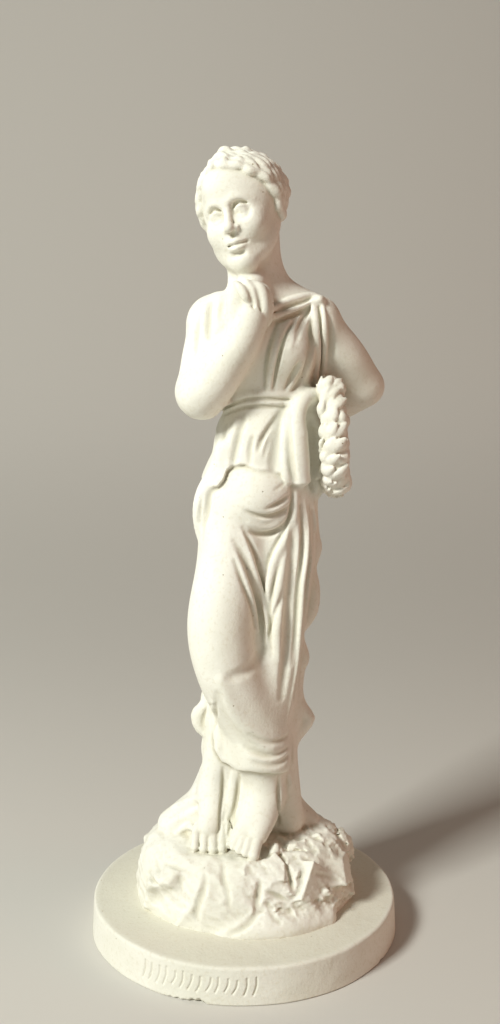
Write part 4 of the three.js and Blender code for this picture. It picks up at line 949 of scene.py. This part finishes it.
# %% [markdown]
# ## The wreath
#
# Below her bent left arm a thick wreath lies against the hip, seen edge on from the front. It is a
# ring-shaped roll first. Broad leaves are then laid on it slantwise, like the strands of a rope,
# each a flattened roll that leaves the ring at its root and lies over the next. The plaster has
# rounded them off, so they are joined softly.

# %% The wreath
RING = (
    (32.4, -7, 213, 4.6), (33.4, -11, 202, 5), (33.8, -11.5, 190, 5.3), (34.6, -6, 180, 5.4),
    (35, 4, 179, 5), (34, 11, 190, 4.8), (33, 10, 203, 4.8), (32, 3, 213.5, 4.6), (32.4, -7, 213, 4.6),
)

roll([(x, y, z, r * 0.84) for x, y, z, r in RING], 1.2)
chance = np.random.default_rng(11)
line = smooth(RING, 4.4)
for i in range(len(line) - 1):
    x, y, z, r = line[i]
    along = (line[i] - line[i + 1])[:3]
    along = along / np.linalg.norm(along)
    out = np.array([0, y + 1, z - 195.0])
    out = out / np.linalg.norm(out)
    for side in (-1.9, -1.1, -0.35, 0.4, 1.15, 1.9):
        a = side + 0.35 * (i % 2) + chance.uniform(-0.15, 0.15)
        normal = np.array([math.sin(a), 0, 0]) + out * math.cos(a)
        sideways = np.array([math.cos(a), 0, 0]) - out * math.sin(a)
        way = along * 0.8 + sideways * chance.uniform(0.2, 1.1)
        long, broad = chance.uniform(4.2, 7.2), chance.uniform(1.3, 2.5)
        seat = line[i, :3] + normal * r * 0.66 - way * long * 0.4
        middle = seat + way * long * 0.5 + normal * chance.uniform(0.6, 1.7)
        tip = seat + way * long + normal * chance.uniform(0, 1.4)
        clay.add(limb([
            (*seat, broad * 0.6), (*middle, broad), (*tip, broad * 0.4),
        ], (tuple(normal), 0.6), 1), 0.5)
tell("wreath")

# %% [markdown]
# ## From clay to casting
#
# The whole sketch now stands in one block, at a step fine enough for an eyelid. The volume library
# lays a skin of quads where the distances pass through zero. There are far more of them than the
# flat places need, so a Decimate modifier takes most of them away again.

import bmesh
import bpy
import openvdb

MOST_TRIANGLES = 196_000
HEIGHT = (box_at_start[1][2] - box_at_start[0][2]) * 1000
FOOT_THICKNESS = 14.0
ROCK_SINK = 0.6  # the rock goes this far into the foot, so that no gap shows

volume = openvdb.FloatGrid(3 * STEP)
volume.copyFromArray(np.clip(clay.value, -3 * STEP, 3 * STEP), tolerance=1e-4)
points, quads = volume.convertToQuads(0.0)
points = points * STEP + clay.low
# The rubbed clay has its skin further out in the hollows, so its number there is below zero.
clay.rub(2)
# How deep each point lies in a hollow: it darkens the colour there, partly as dust and partly as painted
# shade in the creases and hollows.
depth = np.clip(-sample(*points.T) / 0.4, 0, 1)
unit = (HEIGHT - FOOT_THICKNESS) / (points[:, 2].max() - GROUND)
points *= unit
points[:, 2] += FOOT_THICKNESS - GROUND * unit
casting = bpy.data.meshes.new("goddess_on_rock")
casting.from_pydata((points / 1000).tolist(), [], quads.tolist())
casting.attributes.new("dust_and_painted_shade", "FLOAT", "POINT").data.foreach_set("value", depth.astype(np.float32))
del clay, volume
print("skin:", len(quads), "quads; sketch scaled by", round(float(unit), 4))

# %% Trim it under the foot's top, and thin it
def apply_modifiers(piece):
    """Replaces a piece's mesh by the mesh its modifiers make."""
    seen = piece.evaluated_get(bpy.context.evaluated_depsgraph_get())
    made = bpy.data.meshes.new_from_object(seen)
    piece.modifiers.clear()
    old, piece.data = piece.data, made
    bpy.data.meshes.remove(old)


def new_piece(name, mesh):
    piece = bpy.data.objects.new(name, mesh)
    bpy.context.collection.objects.link(piece)
    return piece


shell = bmesh.new()
shell.from_mesh(casting)
bmesh.ops.bisect_plane(
    shell, geom=shell.verts[:] + shell.edges[:] + shell.faces[:],
    plane_co=(0, 0, (FOOT_THICKNESS - ROCK_SINK) / 1000), plane_no=(0, 0, -1), clear_outer=True,
)
bmesh.ops.holes_fill(shell, edges=[e for e in shell.edges if e.is_boundary], sides=0)
bmesh.ops.recalc_face_normals(shell, faces=shell.faces)
shell.to_mesh(casting)
shell.free()
goddess = new_piece("goddess_on_rock", casting)
thin = goddess.modifiers.new("thin", "DECIMATE")
thin.ratio = MOST_TRIANGLES / (2 * len(casting.polygons))
apply_modifiers(goddess)
goddess.data.polygons.foreach_set("use_smooth", [True] * len(goddess.data.polygons))
print("goddess and rock:", len(goddess.data.polygons), "triangles")

# %% [markdown]
# ## The round foot
#
# The casting ends in a round foot like a thick coin. A mould needs a little draft to let it go, so
# the underside is slightly wider than the top. The same outline all round is a job for a spin: half
# of the section is drawn once and turned about the upright axis. The rim also has to carry wear:
# a row of shallow strokes and chips in its lower edge. So its faces are cut down to a quarter of a
# millimetre afterwards, and their corners are pushed in.

# %% Spin the round foot
FOOT_DIAMETER = (box_at_start[1][0] - box_at_start[0][0]) * 1000
FOOT_DRAFT = 0.8  # how far the rim leans in
FOOT_EDGE = 1.2  # the rounding between rim and top
ARRIS = 0.4  # the small slope at the underside
RIM_STEPS = 350
RIM_ROWS = 41

wide = FOOT_DIAMETER / 2
rim_top = FOOT_THICKNESS - FOOT_EDGE
section = [(0, 0), (wide - ARRIS, 0)]
section += [
    (wide - FOOT_DRAFT * max(z - ARRIS, 0) / (rim_top - ARRIS), z)
    for z in np.linspace(ARRIS, rim_top, RIM_ROWS)
]
section += [
    (wide - FOOT_DRAFT - FOOT_EDGE * (1 - math.cos(a)), FOOT_THICKNESS - FOOT_EDGE * (1 - math.sin(a)))
    for a in np.radians([22.5, 45, 67.5, 90])
]
section += [(r, FOOT_THICKNESS) for r in (57, 54, 50, 45, 38, 0)]
turned_foot = bmesh.new()
outline = [turned_foot.verts.new((r / 1000, 0, z / 1000)) for r, z in section]
rim = [turned_foot.edges.new(pair) for pair in zip(outline[:-1], outline[1:])]
bmesh.ops.spin(
    turned_foot, geom=outline + rim, cent=(0, 0, 0), axis=(0, 0, 1), angle=math.tau, steps=RIM_STEPS,
    use_merge=True,
)
bmesh.ops.remove_doubles(turned_foot, verts=turned_foot.verts, dist=1e-6)
hoops = [
    e for e in turned_foot.edges
    if abs(e.verts[0].co.z - e.verts[1].co.z) < 1e-7 and min(v.co.xy.length for v in e.verts) > 0.0575
    and abs(e.verts[0].co.xy.length - e.verts[1].co.xy.length) < 1e-5
]
bmesh.ops.subdivide_edges(turned_foot, edges=hoops, cuts=3, use_grid_fill=True)
bmesh.ops.recalc_face_normals(turned_foot, faces=turned_foot.faces)
foot_mesh = bpy.data.meshes.new("round_foot")
turned_foot.to_mesh(foot_mesh)
turned_foot.free()
print("round foot:", len(foot_mesh.polygons), "faces")

# %% Wear on the rim
# (distance along the rim from the front towards her left, height of its middle, length, lean)
marks = np.random.default_rng(4)
STROKES = [
    (
        -39 + 3.3 * i + marks.uniform(-0.4, 0.4), 7.2 + marks.uniform(-0.5, 0.5),
        marks.uniform(4, 6.6), marks.uniform(1, 1.8),
    )
    for i in range(14)
]


def stroke_depth(along, z):
    depth = np.zeros_like(along)
    for s, middle, long, lean in STROKES:
        t = np.clip((z - middle) / long + 0.5, 0, 1)
        gap = np.hypot(along - s - lean * (t - 0.5) - 0.5 * np.sin(t * 3.1), z - middle - (t - 0.5) * long)
        depth = np.maximum(depth, 0.42 * np.clip(1.3 - gap / 0.42, 0, 1))
    return depth


v = np.empty(len(foot_mesh.vertices) * 3, np.float32)
foot_mesh.vertices.foreach_get("co", v)
v = v.reshape(-1, 3) * 1000
radius = np.hypot(v[:, 0], v[:, 1])
angle = np.arctan2(v[:, 0], -v[:, 1])
along = angle * FOOT_DIAMETER / 2
on_rim = np.clip((radius - 57) / 2, 0, 1)
chip = np.interp(along, (-29.5, -28, -24, -21, -19, -15.5, -14, -12.8), (0, 0.5, 0.8, 0.7, 1.4, 1.9, 1.5, 0))
chip += 0.25 * np.sin(along * 2.3) * (chip > 0)
small = np.interp(along, (60, 61.5, 63.5, 65), (0, 0.9, 0.7, 0))
small += np.interp(along, (-70, -68, -66), (0, 0.7, 0))
inset = stroke_depth(along, v[:, 2]) + 0.9 * np.clip(chip + small - v[:, 2], 0, 3)
inset += 0.12 + 0.1 * np.sin(angle * 7 + 1) + 0.05 * np.sin(angle * 17 + np.sin(v[:, 2] * 0.5))
v[:, :2] *= ((radius - inset * on_rim) / np.maximum(radius, 1e-6))[:, None]
lift = np.clip((v[:, 2] - 13) / 1, 0, 1) * np.clip((radius - 20) / 20, 0, 1)
v[:, 2] += lift * (0.1 * np.sin(v[:, 0] * 0.21 + 1) * np.sin(v[:, 1] * 0.17) - 0.12)
foot_mesh.vertices.foreach_set("co", (v / 1000).ravel())
# The same number darkens the deepest strokes and chips, and the top of the foot a little, as dust.
dusty_top = 0.42 * lift * np.clip((60.5 - radius) / 3, 0, 1)
worn = np.maximum(np.clip(inset - 0.35, 0, 0.3) * on_rim * 2.4, dusty_top + 0.12)
foot_mesh.attributes.new("dust_and_painted_shade", "FLOAT", "POINT").data.foreach_set("value", worn.astype(np.float32))
round_foot = new_piece("round_foot", foot_mesh)
smooth_faces = [abs(p.normal.z) < 0.9 or p.center.z > 0.001 for p in foot_mesh.polygons]
foot_mesh.polygons.foreach_set("use_smooth", smooth_faces)
print("strokes on the rim:", len(STROKES), "; deepest wear", round(float((inset * on_rim).max()), 2), "mm")

# %% [markdown]
# ## Cast plaster
#
# Plaster of Paris is mixed with water and poured. It sets as a fine white chalk, quite matte, with
# a warm tinge, faint cloudy patches where it dried unevenly, and tiny round pits left by air
# bubbles. Dust stays in its hollows. So the shader is a rough dielectric, its colour varies by only
# a few percent, a number kept at each point darkens the hollows and creases to a brownish tone,
# partly as dust and partly as painted shade, and the pits and the grain go into the bump.

# %% A colour and a node helper
def linear(hex_colour):
    """An sRGB hex colour as the linear numbers that a shader takes."""
    parts = [int(hex_colour[i : i + 2], 16) / 255 for i in (1, 3, 5)]
    return [c / 12.92 if c <= 0.04045 else ((c + 0.055) / 1.055) ** 2.4 for c in parts] + [1.0]


def node(tree, kind, settings=None, links=None, values=None):
    """Adds a node, sets its attributes and its sockets' values, and links sockets to it."""
    made = tree.nodes.new(kind)
    for key, value in (settings or {}).items():
        setattr(made, key, value)
    for key, value in (values or {}).items():
        made.inputs[key].default_value = value
    for key, source in (links or {}).items():
        tree.links.new(source, made.inputs[key])
    return made


def math_node(tree, operation, links, values=None):
    return node(tree, "ShaderNodeMath", {"operation": operation}, links, values).outputs[0]


def noise(tree, place, size, detail, roughness=0.5):
    """Soft random clouds, size metres across."""
    values = {"Scale": 1 / size, "Detail": detail, "Roughness": roughness}
    return node(tree, "ShaderNodeTexNoise", None, {"Vector": place}, values).outputs["Fac"]


def mixed(tree, share, below, above, blend="MIX"):
    """Two colours mixed; the share and the upper colour may be a number or a socket."""
    links, values = {6: below}, {}
    for key, given in ((0, share), (7, above)):
        (links if isinstance(given, bpy.types.NodeSocket) else values)[key] = given
    made = node(tree, "ShaderNodeMix", {"data_type": "RGBA", "blend_type": blend}, links, values)
    return made.outputs[2]


def ramp_of(tree, source, low, high, low_colour, high_colour):
    """A smooth change from one colour to another as a number goes from low to high."""
    made = node(tree, "ShaderNodeValToRGB", None, {"Fac": source})
    first, last = made.color_ramp.elements
    first.position, last.position = low, high
    first.color, last.color = linear(low_colour), linear(high_colour)
    return made.outputs["Color"]

# %% Plaster of Paris
# Sizes in metres.
CLOUD = 0.030
SPECK = 0.0014
GRAIN = 0.0009
TROWEL_WAVE = 0.006
PIT_SPACING = 0.0036
STAIN_SHARE = 0.2
PITLESS_CELLS = 0.9  # this share of the pattern's cells has no pit

plaster = bpy.data.materials.new("cast_plaster_of_paris")
plaster.use_nodes = True
tree = plaster.node_tree
tree.nodes.clear()
place = node(tree, "ShaderNodeTexCoord").outputs["Object"]
dust_and_painted_shade = node(tree, "ShaderNodeAttribute", {"attribute_name": "dust_and_painted_shade"}).outputs["Fac"]

clouds = noise(tree, place, CLOUD, 5.0, 0.6)
clean = ramp_of(tree, clouds, 0.34, 0.66, "#e8e6d9", "#f3f1e8")
stain = ramp_of(tree, noise(tree, place, SPECK, 2.0), 0.3, 0.46, "#d9cfb6", "#ffffff")
tinted = mixed(tree, STAIN_SHARE, clean, stain, "MULTIPLY")
# Dust and painted shade: brownish, darker in the hollows and creases, and uneven.
dust_and_shade_share = math_node(tree, "MULTIPLY", {0: dust_and_painted_shade, 1: clouds})
dusted_and_shaded = mixed(tree, dust_and_shade_share, tinted, linear("#a39a76"))

# Pits: one in ten cells of a 3-D Voronoi pattern keeps a small round hole.
cells = node(tree, "ShaderNodeTexVoronoi", None, {"Vector": place}, {"Scale": 1 / PIT_SPACING})
lot = node(tree, "ShaderNodeSeparateColor", None, {"Color": cells.outputs["Color"]})
chosen = math_node(tree, "GREATER_THAN", {0: lot.outputs["Red"]}, {1: PITLESS_CELLS})
pit = node(
    tree, "ShaderNodeMapRange", None, {"Value": cells.outputs["Distance"]},
    {"From Min": 0.05, "From Max": 0.085, "To Min": 1.0, "To Max": 0.0},
)
pits = math_node(tree, "MULTIPLY", {0: pit.outputs[0], 1: chosen})
coloured = mixed(tree, pits, dusted_and_shaded, linear("#b3a88b"))

# Height: soft waves and grain stand out, and the pits go in.
grain = noise(tree, place, GRAIN, 3.0, 0.6)
height = math_node(tree, "MULTIPLY_ADD", {0: noise(tree, place, TROWEL_WAVE, 3.0), 2: grain}, {1: 2.5})
lowered = math_node(tree, "MULTIPLY_ADD", {0: pits, 2: height}, {1: -3.0})
bump = node(tree, "ShaderNodeBump", None, {"Height": lowered}, {"Strength": 0.7, "Distance": 0.00016})
rough = node(tree, "ShaderNodeMapRange", None, {"Value": clouds}, {"To Min": 0.72, "To Max": 0.92})
shader = node(
    tree, "ShaderNodeBsdfPrincipled", None,
    {"Base Color": coloured, "Normal": bump.outputs["Normal"], "Roughness": rough.outputs[0]}, {"IOR": 1.5},
)
node(tree, "ShaderNodeOutputMaterial", None, {"Surface": shader.outputs["BSDF"]})
for piece in (goddess, round_foot):
    piece.data.materials.clear()
    piece.data.materials.append(plaster)
    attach(piece, "root")
    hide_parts("figurine")
print("plaster on", goddess.name, "and", round_foot.name)

# %% [markdown]
# ## The studio
#
# A plain pale floor that curves up into a backdrop, one large soft lamp high at the viewer's left,
# and a weak fill, so that the right side of the folds stays in shade as in the photograph.

# %% Floor and backdrop
# The bend starts well behind the figurine, so that the floor under it stays flat.
FLOOR_LINE = ((-1.5, 0), (-0.6, 0), (0.25, 0), (0.5, 0), (0.8, 0.06), (0.95, 0.3), (1.0, 1.6))
sweep = bmesh.new()
edge = [sweep.verts.new((-2, y, z)) for y, z in FLOOR_LINE]
strip = [sweep.edges.new(pair) for pair in zip(edge[:-1], edge[1:])]
reach = bmesh.ops.extrude_edge_only(sweep, edges=strip)["geom"]
bmesh.ops.translate(sweep, vec=(4, 0, 0), verts=[g for g in reach if isinstance(g, bmesh.types.BMVert)])
bmesh.ops.recalc_face_normals(sweep, faces=sweep.faces)
floor_mesh = bpy.data.meshes.new("floor")
sweep.to_mesh(floor_mesh)
sweep.free()
floor = new_piece("floor", floor_mesh)
bend = floor.modifiers.new("soft bend", "SUBSURF")
bend.levels = bend.render_levels = 3
floor.data.polygons.foreach_set("use_smooth", [True] * len(floor.data.polygons))
paper = bpy.data.materials.new("matte_paper")
paper.use_nodes = True
paper.node_tree.nodes["Principled BSDF"].inputs["Base Color"].default_value = linear("#cfccc6")
paper.node_tree.nodes["Principled BSDF"].inputs["Roughness"].default_value = 0.9
floor.data.materials.append(paper)

# %% Lights
from mathutils import Vector


def lamp(name, place, aim, watts, size, colour="#ffffff"):
    light = bpy.data.lights.new(name, "AREA")
    light.energy, light.size, light.color = watts, size, linear(colour)[:3]
    made = bpy.data.objects.new(name, light)
    made.location = place
    made.rotation_euler = (Vector(aim) - Vector(place)).to_track_quat("-Z", "Y").to_euler()
    bpy.context.collection.objects.link(made)


lamp("window light", (-0.78, -0.72, 0.9), (0, 0, 0.15), 19.5, 0.3, "#fdfff8")
lamp("fill", (0.9, -0.2, 0.36), (0, 0, 0.15), 1.3, 0.5, "#ffa47c")
world = bpy.data.worlds.new("room")
world.use_nodes = True
world.node_tree.nodes["Background"].inputs["Color"].default_value = linear("#f0e8da")
world.node_tree.nodes["Background"].inputs["Strength"].default_value = 0.16
bpy.context.scene.world = world

# %% Camera
# A normal lens, 415 mm away, at three quarters of the figure's height and tipped down.
lens = bpy.data.cameras.new("camera")
lens.sensor_fit, lens.sensor_height, lens.lens = "VERTICAL", 36, 38.67
camera = bpy.data.objects.new("camera", lens)
camera.location = (0.0024, -0.415, 0.227)
camera.rotation_euler = (math.radians(90 - 8.4), 0, 0)
bpy.context.collection.objects.link(camera)
bpy.context.scene.camera = camera
bpy.context.scene.view_settings.view_transform = "Standard"
